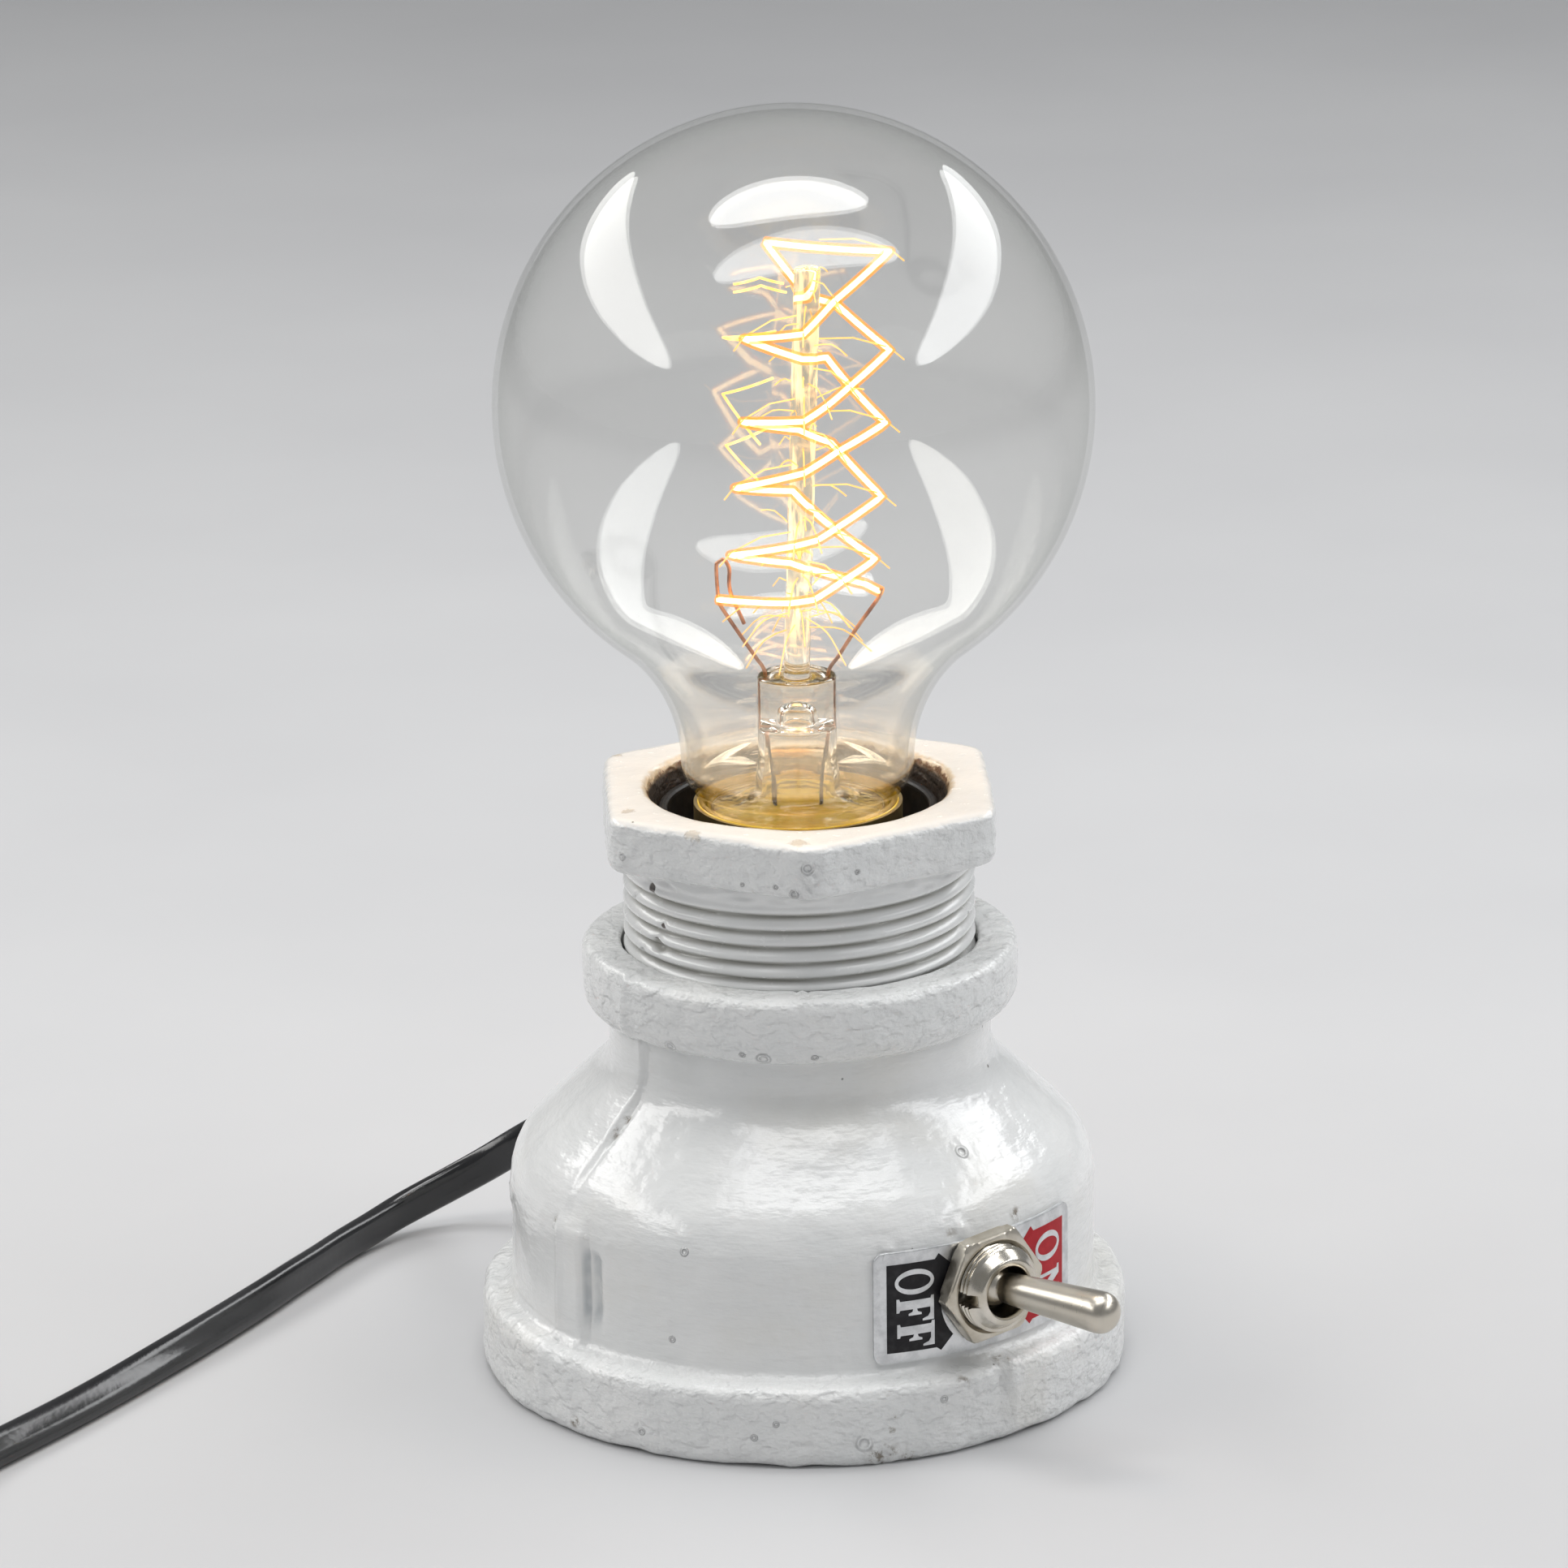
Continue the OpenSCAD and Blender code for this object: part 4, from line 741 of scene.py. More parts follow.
bushing_paint.surface(
    bushing_paint.blend(inside, paint_tone, (0.055, 0.045, 0.04)),
    0.17 + 0.16 * cast_skin + 0.3 * rusty + 0.25 * inside + pinholes * 0.3,
    relief=bushing_height,
    depth=0.85 * mm,
    Coat_Weight=0.35,
    Coat_Roughness=0.10,
)
finished("hex_bushing_casting", bushing, bushing_paint, "root", "white_paint", "hex_bushing",
         sharp=70)


# ---- Lampholder ----
# Two phenolic shells hold a porcelain core with the brass screw shell and its contacts. The
# holder is glued into the bushing's bore, so only its rim and the dark well inside it show.
def dress(finish, *nodes):
    """Gives the named CAD pieces this finish."""
    for name in nodes:
        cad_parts[name].data.materials.clear()
        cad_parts[name].data.materials.append(finish.material)


def two_toned(name, size, low, high, gloss, spread, depth, detail=3.0, **constants):
    """A finish in which one soft grain mixes two tones and varies the gloss and the relief."""
    finish = Finish(name)
    grain = finish.grain(size * mm, detail=detail)
    return finish.surface(finish.blend(grain, low, high), gloss + spread * grain,
                          relief=grain, depth=depth * mm, **constants)


phenolic = Finish("black_phenolic")
swirl = phenolic.grain(2.2 * mm, detail=4.0)
dust = phenolic.grain(0.8 * mm, detail=3.0)
phenolic.surface(
    phenolic.blend(swirl.fade(0.4, 0.8), (0.010, 0.009, 0.008), (0.030, 0.024, 0.020)),
    0.30 + 0.22 * dust, relief=dust * 0.5 + swirl * 0.5, depth=0.05 * mm)
dress(phenolic, "holder_skirt", "holder_cap", "switch_case")

dress(two_toned("porcelain", 3, (0.70, 0.67, 0.60), (0.80, 0.78, 0.72), 0.35, 0.15, 0.05),
      "holder_core")

brass = Finish("dull_brass")
tarnish = brass.grain(3.5 * mm, detail=4.0, roughness=0.6)
rolled = brass.grain(0.5 * mm, detail=2.0)
brass.surface(brass.blend(tarnish.fade(0.4, 0.75), (0.76, 0.58, 0.27), (0.46, 0.31, 0.13)),
              0.24 + 0.25 * tarnish, relief=rolled, depth=0.02 * mm, Metallic=1.0)
dress(brass, "screw_shell", "holder_contact", "holder_screws", "switch_terminals", "lamp_cap")

dress(two_toned("set_adhesive", 2.5, (0.50, 0.42, 0.30), (0.66, 0.60, 0.48), 0.45, 0.2, 0.2,
                detail=2.0), "holder_adhesive")


# ---- Lamp ----
# A clear 80 mm globe on a screw cap, with amber cement round its foot. On the glass stem a
# centre rod carries hooks that hold the spiral filament; two leads run down to the cap.
cap_rim = 79.0
globe_height, globe_radius, neck_radius, foot_of_glass = 133.7, 40.0, 15.7, 13.4
glass_thick, blend_radius = 0.8, 22.0
blend_x = neck_radius + blend_radius
blend_drop = math.sqrt((globe_radius + blend_radius) ** 2 - blend_x ** 2)
blend_angle = math.degrees(math.atan2(blend_drop, blend_x))


def bow(centre, radius, start, end, count):
    """Corners along an arc of the outline, in degrees, rounded by nothing."""
    return [(centre[0] + radius * math.cos(a), centre[1] + radius * math.sin(a), 0.0)
            for a in (math.radians(start + (end - start) * i / count) for i in range(count + 1))]


def glass_outline(drawn_in):
    return (
        [(foot_of_glass - drawn_in, cap_rim - 3, 0.0),
         (foot_of_glass - drawn_in, cap_rim + 0.2, 0.0)]
        + bow((neck_radius - 4.5, cap_rim + 5.5), 4.5 - drawn_in, -50, 0, 8)
        + bow((blend_x, globe_height - blend_drop), blend_radius + drawn_in, 180, 180 - blend_angle,
              22)
        + bow((0, globe_height), globe_radius - drawn_in, -blend_angle + 1, 90, 70)
    )


clear_glass = Finish("clear_globe_glass")
edge_on = clear_glass.node("ShaderNodeLayerWeight", {}, {"Blend": 0.5}, output="Facing")
edge_cubed = edge_on * edge_on * edge_on
waves = clear_glass.grain(17 * mm, detail=1.0)
# painted reflection: below 80 to 104 mm the globe is tinted warm and made less clear, for warm
# light reflected in its lower part
warm_reflection = 1 - clear_glass.axis("Z").fade(80 * mm, 104 * mm)
skin = clear_glass.node("ShaderNodeBsdfPrincipled", {}, {
    "Base Color": clear_glass.blend(
        edge_cubed,
        clear_glass.blend(warm_reflection, (0.97, 0.97, 0.96), (1.0, 0.84, 0.62)), (0.50, 0.52, 0.49)),
    "Metallic": 1.0,
    "Roughness": 0.02 + 0.03 * waves,
    "Normal": clear_glass.node("ShaderNodeBump", {}, {"Height": waves, "Distance": 0.12 * mm}),
})
clear_glass.end(clear_glass.node("ShaderNodeMixShader", {}, {
    0: 0.045 + 0.17 * warm_reflection + 0.50 * edge_cubed * edge_on,
    1: clear_glass.node("ShaderNodeBsdfTransparent", {}, {"Color": (0.985, 0.985, 0.98)}),
    2: skin,
}))
outer, inner = glass_outline(0), glass_outline(glass_thick)
finished("globe_glass",
         turned("globe_glass", [(max(r, 0), z, 0) for r, z, _ in outer + inner[::-1]], steps=144),
         clear_glass, "lamp", "clear_glass", "glass_globe", sharp=60)

cement = Finish("amber_cement")
cloudy = cement.grain(6 * mm, detail=4.0, roughness=0.6)
grit = cement.grain(0.9 * mm, detail=3.0)
# painted light: the cement glows faintly amber, for the filament's light falling on it
cement.surface(
    cement.blend(cloudy.fade(0.32, 0.66), (0.74, 0.46, 0.01), (0.95, 0.72, 0.09)),
    0.22 + 0.3 * cloudy, relief=cloudy * 0.7 + grit * 0.3, depth=0.5 * mm,
    Coat_Weight=0.4, Emission_Color=(0.9, 0.5, 0.02), Emission_Strength=0.14)
cement_outline = [(0, cap_rim - 9, 0), (12.2, cap_rim - 9, 0), (12.2, cap_rim - 2.8, 0.2),
                  (11.2, cap_rim - 1.75, 0.6), (6.6, cap_rim - 1.3, 2.0), (0, cap_rim - 1.2, 0)]
finished("cement_fill",
         turned("cement_fill", cement_outline, fineness=1.2, closed=False),
         cement, "lamp", "cement", "cap_cement", sharp=50)
rim_outline = [(13.45, cap_rim - 2.0, 0), (13.60, cap_rim - 2.0, 0), (13.60, cap_rim + 0.05, 0.05),
               (13.45, cap_rim + 0.15, 0)]
finished("cement_rim",
         turned("cement_rim", rim_outline, steps=144, fineness=1.0),
         cement, "lamp", "cement")

dress(two_toned("dull_solder", 1.5, (0.55, 0.55, 0.53), (0.72, 0.72, 0.70), 0.35, 0.2, 0.08,
                Metallic=1.0), "cap_contact")
dress(two_toned("dark_cap_glass", 2, (0.012, 0.008, 0.016), (0.035, 0.02, 0.045), 0.08, 0.1, 0.05,
                detail=2.0), "cap_insulator")

stem_glass = Finish("stem_glass")
drawn = stem_glass.grain(3 * mm, detail=2.0, stretch=(1, 1, 4))
# painted light: above 97 to 106 mm the stem and rod are tinted warm and glow in streaks, for the
# filament's light glinting in the glass
in_light = stem_glass.axis("Z").fade(97 * mm, 106 * mm)
glint_streaks = stem_glass.grain(1.1 * mm, detail=3.0, stretch=(1, 1, 7))
stem_glass.surface(
    stem_glass.blend(in_light, (0.99, 0.965, 0.91), (1.0, 0.90, 0.70)), 0.01 + 0.05 * drawn,
    relief=drawn, depth=0.10 * mm, Transmission_Weight=1.0, IOR=1.46,
    Emission_Color=stem_glass.blend(in_light * glint_streaks.fade(0.48, 0.62), (0.01, 0.006, 0.0),
                                    (1.0, 0.68, 0.28)),
    Emission_Strength=0.9)
stem_radius, stem_top, rod_radius, rod_top = 5.3, 96.6, 1.75, 152.0
flare_radius = foot_of_glass - glass_thick - 0.15
aside = Vector((math.cos(math.radians(view_turn)), math.sin(math.radians(view_turn)), 0))
nearer = Vector((aside.y, -aside.x, 0))
stem_outline = (
    [(flare_radius, cap_rim - 2.6, 0.0), (flare_radius, cap_rim - 0.6, 0.5), (7.4, cap_rim, 1.5),
     (stem_radius + 0.3, cap_rim + 1.5, 0.9), (stem_radius + 0.45, cap_rim + 3.3, 0.9),
     (stem_radius, cap_rim + 5.4, 1.2),
     (stem_radius, stem_top, 0.45), (stem_radius - 1.2, stem_top, 0.3),
     (stem_radius - 1.5, stem_top - 0.5, 0.3), (rod_radius, stem_top - 0.4, 0.4),
     (rod_radius, rod_top + 0.4, 0.35), (0, rod_top + 0.6, 0), (0, stem_top - 3.4, 0)]
    + bow((0, stem_top - 5.2), 1.85, 84, 0, 8)
    + [(1.95, stem_top - 6.6, 0.3), (3.0, stem_top - 6.2, 0.5),
       (stem_radius - 0.9, stem_top - 7.4, 0.6), (stem_radius - 0.9, cap_rim + 5.4, 0.6),
       (stem_radius - 0.5, cap_rim + 3.3, 0.6), (stem_radius - 0.6, cap_rim + 1.3, 0.8),
       (6.8, cap_rim - 0.9, 1.2), (flare_radius - 0.9, cap_rim - 1.5, 0.4),
       (flare_radius - 0.9, cap_rim - 2.6, 0)]
)


def leaning(place):
    """The centre rod leans a little to the right above the stem tube."""
    return place + aside * (2.0 * mm * max(0, place.z / mm - stem_top) / (rod_top - stem_top))


stem = turned("stem_and_rod", stem_outline, steps=72, fineness=4.0)
for vert in stem.vertices:
    vert.co = leaning(vert.co)
finished("stem_and_rod", stem, stem_glass, "lamp", "stem_glass", "glass_stem", sharp=60)

# The filament hangs as two spirals wound into each other. They meet in the top corner, and both
# run down to the leads. Each stop: how far aside, how far towards the front, height.
def stop(right, near, height):
    """A place on the filament's hooks, in millimetres, measured from the lamp's axis."""
    return leaning((aside * right + nearer * near + Vector((0, 0, height))) * mm) / mm


first_strand = [
    (-5.6, -9.2, 153.8), (10.8, 0.5, 154.6), (3.6, 6.5, 149.4), (-0.4, 10.2, 145.9),
    (-8.1, 7.2, 144.6), (-0.4, 4.0, 141.0), (2.9, -3.0, 139.5), (5.6, -3.6, 136.0),
    (10.9, 0.4, 131.3), (4.6, 6.0, 128.9), (0.2, 8.2, 126.6), (-8.8, 6.8, 124.3),
    (-1.2, 3.8, 123.0), (2.9, -2.4, 117.4), (10.1, 0.4, 112.6), (5.6, 5.8, 111.0),
    (2.0, 8.0, 109.2), (-1.2, 8.2, 108.8), (-10.8, 1.0, 107.4),
]
second_strand = [
    (-5.6, -9.2, 153.8), (0.2, -4.2, 147.6), (4.0, -3.4, 146.6), (11.2, 0.4, 141.2),
    (5.8, 5.2, 137.4), (2.9, 7.4, 135.4), (0.0, 8.2, 133.6), (-8.0, 7.0, 133.3), (-0.6, 4.0, 131.4),
    (3.8, -3.0, 127.8), (10.7, 0.4, 121.2), (4.6, 5.4, 118.2), (2.2, 7.4, 117.2),
    (-0.8, 8.0, 116.6), (-9.2, 6.4, 115.0), (-1.2, 4.2, 113.2), (2.4, -2.0, 110.4),
    (8.8, -1.0, 108.8), (11.0, 0.4, 108.0),
]
# thinner, cooler loops on the left, between the spirals' corners
side_loops = [
    [(-3.9, -6.0, 142.4), (-10.9, -2.0, 142.6), (-7.6, 6.6, 144.4)],
    [(-4.1, -6.0, 136.0), (-10.8, -1.6, 135.0), (-5.7, 6.0, 130.0)],
    [(-4.2, -6.0, 129.4), (-10.2, -1.4, 128.0), (-5.9, 6.0, 125.2)],
    [(-3.0, -8.0, 148.4), (-6.2, -7.4, 149.4), (-9.6, -3.0, 149.6)],
    [(-2.6, -8.0, 147.2), (-6.0, -7.0, 148.4), (-9.6, -2.6, 148.6)],
]


def strand(stops, fall):
    """Points along the strand, which hangs a little between its stops."""
    places = [stop(*place) for place in stops]
    made = []
    for a, b in zip(places, places[1:]):
        count = max(2, round((b - a).length / 1.0))
        for i in range(count):
            t = i / count
            sag = Vector((0, 0, fall * (b - a).length * 4 * t * (1 - t)))
            made.append((a.lerp(b, t) - sag) * mm)
    return made + [places[-1] * mm]


def round_section(radius, sides):
    return [(radius * math.cos(2 * math.pi * i / sides), radius * math.sin(2 * math.pi * i / sides))
            for i in range(sides)]


def gathered(name, wires):
    """One mesh from several wires, each (points, radius)."""
    form = bmesh.new()
    for k, (line, radius) in enumerate(wires):
        section = round_section(radius * mm, 6 if radius < 0.2 else 10)
        wire = swept("%s_%d" % (name, k), line, section)
        form.from_mesh(wire)
        bpy.data.meshes.remove(wire)
    mesh = bpy.data.meshes.new(name)
    form.to_mesh(mesh)
    form.free()
    return mesh


glow = Finish("glowing_filament")
flicker = glow.grain(1.6 * mm, detail=2.0)
glow.surface((0.9, 0.6, 0.25), 0.5 + 0.1 * flicker,
             Emission_Color=glow.blend(flicker.fade(0.35, 0.65), (1.0, 0.66, 0.24),
                                       (1.0, 0.78, 0.38)),
             Emission_Strength=9.0)
main_lines = [strand(first_strand, 0.012), strand(second_strand, 0.012)]
finished("double_filament", gathered("double_filament", [(line, 0.37) for line in main_lines]),
         glow, "lamp", "filament", "filament")
# painted glow: a see-through sleeve round the two spirals, glowing orange round the hot wire
halo = Finish("filament_halo")
shimmer = halo.grain(2.2 * mm, detail=2.0)
halo.surface((0.25, 0.05, 0.002), 0.6 + 0.1 * shimmer,
             Alpha=0.36 + 0.22 * shimmer, Specular_IOR_Level=0.0,
             Emission_Color=halo.blend(shimmer.fade(0.35, 0.65), (1.0, 0.38, 0.02),
                                       (1.0, 0.50, 0.05)),
             Emission_Strength=1.1)
finished("filament_halo", gathered("filament_halo", [(line, 0.80) for line in main_lines]),
         halo, "lamp", "filament")
cooler = Finish("cooler_filament")
fading = cooler.grain(2.0 * mm, detail=2.0)
cooler.surface((0.9, 0.45, 0.12), 0.5 + 0.1 * fading,
               Emission_Color=cooler.blend(fading.fade(0.35, 0.65), (1.0, 0.46, 0.08),
                                           (1.0, 0.66, 0.20)),
               Emission_Strength=2.2)
finished("filament_loops",
         gathered("filament_loops", [(strand(loop, 0.02), 0.17) for loop in side_loops]), cooler,
         "lamp", "filament")

# painted light: the hooks glow orange, for the filament's light on them; one grain mottles their
# glow, tone, gloss and relief
hook_wire = Finish("hook_wire")
mottle_and_glow = hook_wire.grain(2 * mm, detail=2.0)
hook_wire.surface(hook_wire.blend(mottle_and_glow, (0.62, 0.36, 0.16), (0.80, 0.52, 0.26)), 0.3 + 0.2 * mottle_and_glow,
                  relief=mottle_and_glow, depth=0.02 * mm, Metallic=1.0,
                  Emission_Color=hook_wire.blend(mottle_and_glow, (1.0, 0.42, 0.07), (1.0, 0.60, 0.16)),
                  Emission_Strength=1.15)
hooks = []
rod_hooks, foot_hooks, golden_turn = 30, 16, 2.399963
for place in first_strand[1:-1] + second_strand[1:-1]:
    corner = stop(*place)
    outward = Vector((place[0], place[1], 0))
    if outward.length > 7:
        # each hook runs out from the rod, curls round the strand and ends a little past it
        way = (corner - stop(0, 0, place[2])).normalized()
        root = stop(0, 0, place[2] + 1.6) + way * 1.5
        hooks.append(([root * mm, (root.lerp(corner, 0.5) + Vector((0, 0, 0.9))) * mm,
                       (corner + Vector((0, 0, 0.35))) * mm,
                       (corner + way * 1.9 - Vector((0, 0, 1.3))) * mm], 0.10))
for k in range(rod_hooks + foot_hooks):
    # spare hooks: short bristles all up the rod, and a brush of drooping ones at its foot
    a = golden_turn * k
    if k < rod_hooks:
        height = 108 + 43.0 * k / (rod_hooks - 1)
        long, rise, arch = 4.2 + 2.6 * math.sin(5.3 * k), 1.4 * math.cos(2.1 * k), 0.9
    else:
        height = 103.0 + 4.6 * (k - rod_hooks) / (foot_hooks - 1)
        long, rise, arch = 7.4 + 1.6 * math.sin(3.7 * k), -3.4 - 1.3 * math.cos(2.1 * k), 1.5
    way = Vector((math.cos(a), math.sin(a), 0))
    root = stop(0, 0, height) + way * 1.5
    tip = root + way * long + Vector((0, 0, rise))
    middle = root.lerp(tip, 0.55) + Vector((0, 0, arch))
    hooks.append(([p.xyz * mm for p in eased([(*root, 0), (*middle, 0), (*tip, 0)], 1.4)], 0.09))
finished("filament_hooks", gathered("filament_hooks", hooks), hook_wire, "lamp", "lead_wire",
         "filament_supports")

lead_wire = Finish("copper_lead_wire")
oxide = lead_wire.grain(2.4 * mm, detail=3.0)
copper_tone = lead_wire.blend(oxide.fade(0.4, 0.7), (0.72, 0.36, 0.20), (0.30, 0.13, 0.07))
lead_wire.surface(
    lead_wire.blend(lead_wire.axis("Z").fade(86 * mm, 88 * mm), (0.05, 0.035, 0.025), copper_tone),
    0.28 + 0.25 * oxide, relief=oxide, depth=0.02 * mm, Metallic=1.0)
lead_runs = []
for side, end in ((1, second_strand[-1]), (-1, first_strand[-1])):
    spots = [(3.0 * side, 0.0, cap_rim - 8), (3.1 * side, 0.4, cap_rim - 1),
             (3.3 * side, 0.3, cap_rim + 4), (4.0 * side, 0.0, cap_rim + 8.5),
             (4.05 * side, 0.0, stem_top - 3), (4.3 * side, 0.0, stem_top + 0.5),
             (5.3 * side, 0.1, stem_top + 2.1), (end[0] * 0.73, end[1], end[2] - 4.7),
             (end[0] * 0.98, end[1], end[2] - 0.6), (end[0], end[1], end[2] + 0.5)]
    if side < 0:
        # the left lead stands on past the filament's end and bends back over it as a clamp
        spots += [(end[0] - 0.3, end[1], end[2] + 5.0), (end[0] + 0.5, end[1], end[2] + 5.6),
                  (end[0] + 1.4, end[1], end[2] + 4.4), (end[0] + 1.6, end[1], end[2] + 1.2),
                  (end[0] + 3.6, end[1], end[2] - 3.4)]
    lead_runs.append(([p.xyz * mm for p in eased([(*stop(*spot), 0) for spot in spots], 0.8)],
                      0.27))
finished("lamp_leads", gathered("lamp_leads", lead_runs), lead_wire, "lamp", "lead_wire",
         "stem_wires")


# ---- Toggle switch ----
# Let into the body from inside: a nickel-plated threaded bushing with a keyway comes through the
# legend plate, a hexagon nut holds both, and a turned bat pivots on its ball in the bushing.
switch_height, bushing_front, bushing_back = 21.8, -45.7, -31.61
thread_crest, thread_root, fine_pitch = 5.9, 5.45, 0.75


def out_of_body(y):
    """Where a shape drawn along Z stands when it points out of the body's front from y."""
    place = Matrix.Translation((0, y * mm, switch_height * mm))
    return place @ Matrix.Rotation(math.radians(90), 4, "X")


def plated(name, low_tone, high_tone, low_gloss, high_gloss, wear):
    """Nickel plate, cloudy and a little yellowed, with fine scratches."""
    finish = Finish(name)
    cloud = finish.grain(3.2 * mm, detail=4.0, roughness=0.6)
    scratch = finish.grain(0.35 * mm, detail=3.0)
    finish.surface(finish.blend(cloud.fade(0.3, 0.7), low_tone, high_tone),
                   low_gloss + (high_gloss - low_gloss) * cloud + 0.08 * scratch,
                   relief=scratch * wear + cloud * (1 - wear), depth=0.02 * mm, Metallic=1.0)
    return finish


nickel = plated("nickel_plate", (0.60, 0.555, 0.47), (0.74, 0.70, 0.63), 0.13, 0.24, 0.3)
keyway_turn, keyway_edge = 185.0, math.degrees(math.asin(1.0 / thread_crest))
keyway_floor, keyway_start = 4.78, 1.0
frame_low = bushing_back - bushing_front
around = [keyway_turn + keyway_edge * share for share in (-1.02, -0.98, -0.5, 0, 0.5, 0.98, 1.02)]
around += [keyway_turn + keyway_edge + 2 + (356 - 2 * keyway_edge) * i / 128 for i in range(129)]
bushing_stations = [(thread_root, 0.0)]
height = 0.02
while height < frame_low - 1.45:
    bushing_stations.append((None, height))
    height += 0.085
bushing_stations += [(thread_root, frame_low - 1.4), (5.0, frame_low - 0.8),
                     (4.72, frame_low - 0.32), (4.62, frame_low - 0.16), (4.5, frame_low - 0.05),
                     (4.32, frame_low), (3.85, frame_low - 0.02), (3.62, frame_low - 0.12),
                     (3.5, frame_low - 0.35), (3.45, frame_low - 0.7), (3.45, frame_low - 2.9),
                     (3.7, frame_low - 3.1), (3.7, frame_low - 8.3), (4.9, frame_low - 14.0)]
rings = []
for radius, height in bushing_stations:
    ring = []
    for turn in around:
        a = math.radians(turn)
        wave = abs((height / fine_pitch - turn / 360) % 1 - 0.5) * 2
        out = radius
        if radius is None:
            out = thread_root + (thread_crest - thread_root) * min(1, 1.35 * wave)
        if abs(turn - keyway_turn) < keyway_edge and out > 4.6 and height > keyway_start:
            out = min(out, keyway_floor / math.cos(math.radians(turn - keyway_turn)))
        ring.append((out * math.cos(a) * mm, out * math.sin(a) * mm, height * mm))
    rings.append(ring)
finished("switch_bushing", looped("switch_bushing", rings, out_of_body(bushing_back)), nickel,
         "root", "nickel", sharp=40)
form = bmesh.new()
for wide, thick, tall, x, y in ((27.2, 0.9, 14.0, 0, -32.06), (0.5, 8.6, 10.0, 13.35, -28.0),
                                (0.5, 8.6, 10.0, -13.35, -28.0)):
    made = bmesh.ops.create_cube(form, size=1.0)["verts"]
    bmesh.ops.scale(form, vec=(wide * mm, thick * mm, tall * mm), verts=made)
    bmesh.ops.translate(form, vec=(x * mm, y * mm, switch_height * mm), verts=made)
bmesh.ops.bevel(form, geom=form.edges[:], offset=0.15 * mm, segments=2, profile=0.5, affect="EDGES",
                material=-1)
finished("switch_frame_plate", mesh_of(form, "switch_frame_plate"), nickel, "root", "nickel",
         "switch_frame")

nut_flats, nut_turn, nut_mouth, nut_bore = 14.3, 5, 6.8, 5.96
nut_rings = []


def nut_radius(angle, ball, inset):
    """Radius of the nut: its flats cut back to the ball and drawn in, or a round mouth."""
    if ball < nut_mouth:
        return ball
    across = (math.degrees(angle) - nut_turn + 30) % 60 - 30
    return min(nut_flats / 2 / math.cos(math.radians(30 - abs(across))), ball) - inset


for height, ball, inset in ((0.0, 7.7, 0.0), (0.3, 8.3, 0.0), (1.2, 8.3, 0.0), (1.75, 8.22, 0.0),
                            (1.95, 8.02, 0.02), (2.1, 7.75, 0.08), (2.22, 7.45, 0.2),
                            (2.3, 7.05, 0.5), (2.3, 6.7, 0.6), (2.28, 6.5, 0.7), (2.1, 6.25, 0.9),
                            (1.8, 6.02, 1.2)):
    nut_rings.append(ring_of(180, height, lambda a: nut_radius(a, ball, inset)))
nut_rings += [ring_of(180, height, lambda a: nut_bore) for height in (1.6, 0.0)]
nut_plate = plated("nickel_nut", (0.54, 0.49, 0.40), (0.70, 0.655, 0.57), 0.20, 0.34, 0.35)
finished("front_hex_nut", looped("front_hex_nut", nut_rings, out_of_body(-40.6)), nut_plate,
         "root", "nickel", "hex_nut", sharp=24)

bat_turn = 15.5
bat_place = (
    Matrix.Translation((0, -41.0 * mm, switch_height * mm))
    @ Matrix.Rotation(math.radians(bat_turn), 4, "Z") @ Matrix.Rotation(math.radians(90), 4, "X")
)
bat_nickel = Finish("turned_nickel")
cloud = bat_nickel.grain(4 * mm, detail=3.0)
turned_marks = bat_nickel.grain(0.22 * mm, detail=3.0, roughness=0.7, stretch=(14, 1, 14),
                                turn=bat_turn)
along_marks = bat_nickel.grain(0.5 * mm, detail=2.0, stretch=(1, 16, 1), turn=bat_turn)
bat_nickel.surface(
    bat_nickel.blend(cloud, (0.58, 0.53, 0.45), (0.72, 0.68, 0.60)),
    0.20 + 0.16 * turned_marks + 0.05 * cloud,
    relief=turned_marks * 0.8 + along_marks * 0.2, depth=0.02 * mm, Metallic=1.0)
bat_outline = [(0, -14.19, 0), (1.5, -14.19, 0.2), (1.5, -2.9, 0)]
bat_outline += [(3.35 * math.sin(a), -3.35 * math.cos(a), 0) for a in
                (math.radians(28 + 6 * i) for i in range(21))]
bat_outline += [(2.05, 3.1, 0), (2.2, 5.0, 0), (2.84, 18.2, 0.25)]
bat_outline += [(2.8 * math.cos(a), 18.5 + 2.4 * math.sin(a), 0) for a in
                (math.radians(3 + 5 * i) for i in range(17))]
bat_outline += [(0, 20.9, 0)]
finished("turned_bat",
         turned("turned_bat", bat_outline, steps=72, fineness=2.0, placing=bat_place, closed=False),
         bat_nickel, "bat", "nickel", "toggle_bat", sharp=50)

steel = plated("plain_steel", (0.36, 0.36, 0.37), (0.50, 0.50, 0.51), 0.30, 0.45, 0.5)
dress(steel, "lock_washer", "plunger_spring")
dress(nickel, "back_nut", "plug_blades")
dress(black_pvc, "switch_plunger")
bronze = plated("contact_copper", (0.62, 0.33, 0.20), (0.78, 0.46, 0.30), 0.24, 0.40, 0.4)
dress(bronze, "rocker_contact")


# ---- Legend plate ----
# Thin aluminium plate with rounded corners, bent round the body under the nut. It is printed
# black and red, with the words OFF and ON left as bare metal; they read from the left side.
plate_face, plate_middle, fold_width = 40.55, (0.5, -1.3), 0.6


def rounded(low, high, radius):
    """Corners of a box from low to high whose corners are rounded."""
    spots = []
    for x, y, start in ((high[0], high[1], 0), (low[0], high[1], 90), (low[0], low[1], 180),
                        (high[0], low[1], 270)):
        centre = (x - math.copysign(radius, x - plate_middle[0]),
                  y - math.copysign(radius, y - plate_middle[1]))
        spots += [(u, v) for u, v, _ in bow(centre, radius, start, start + 90, 5)]
    return spots


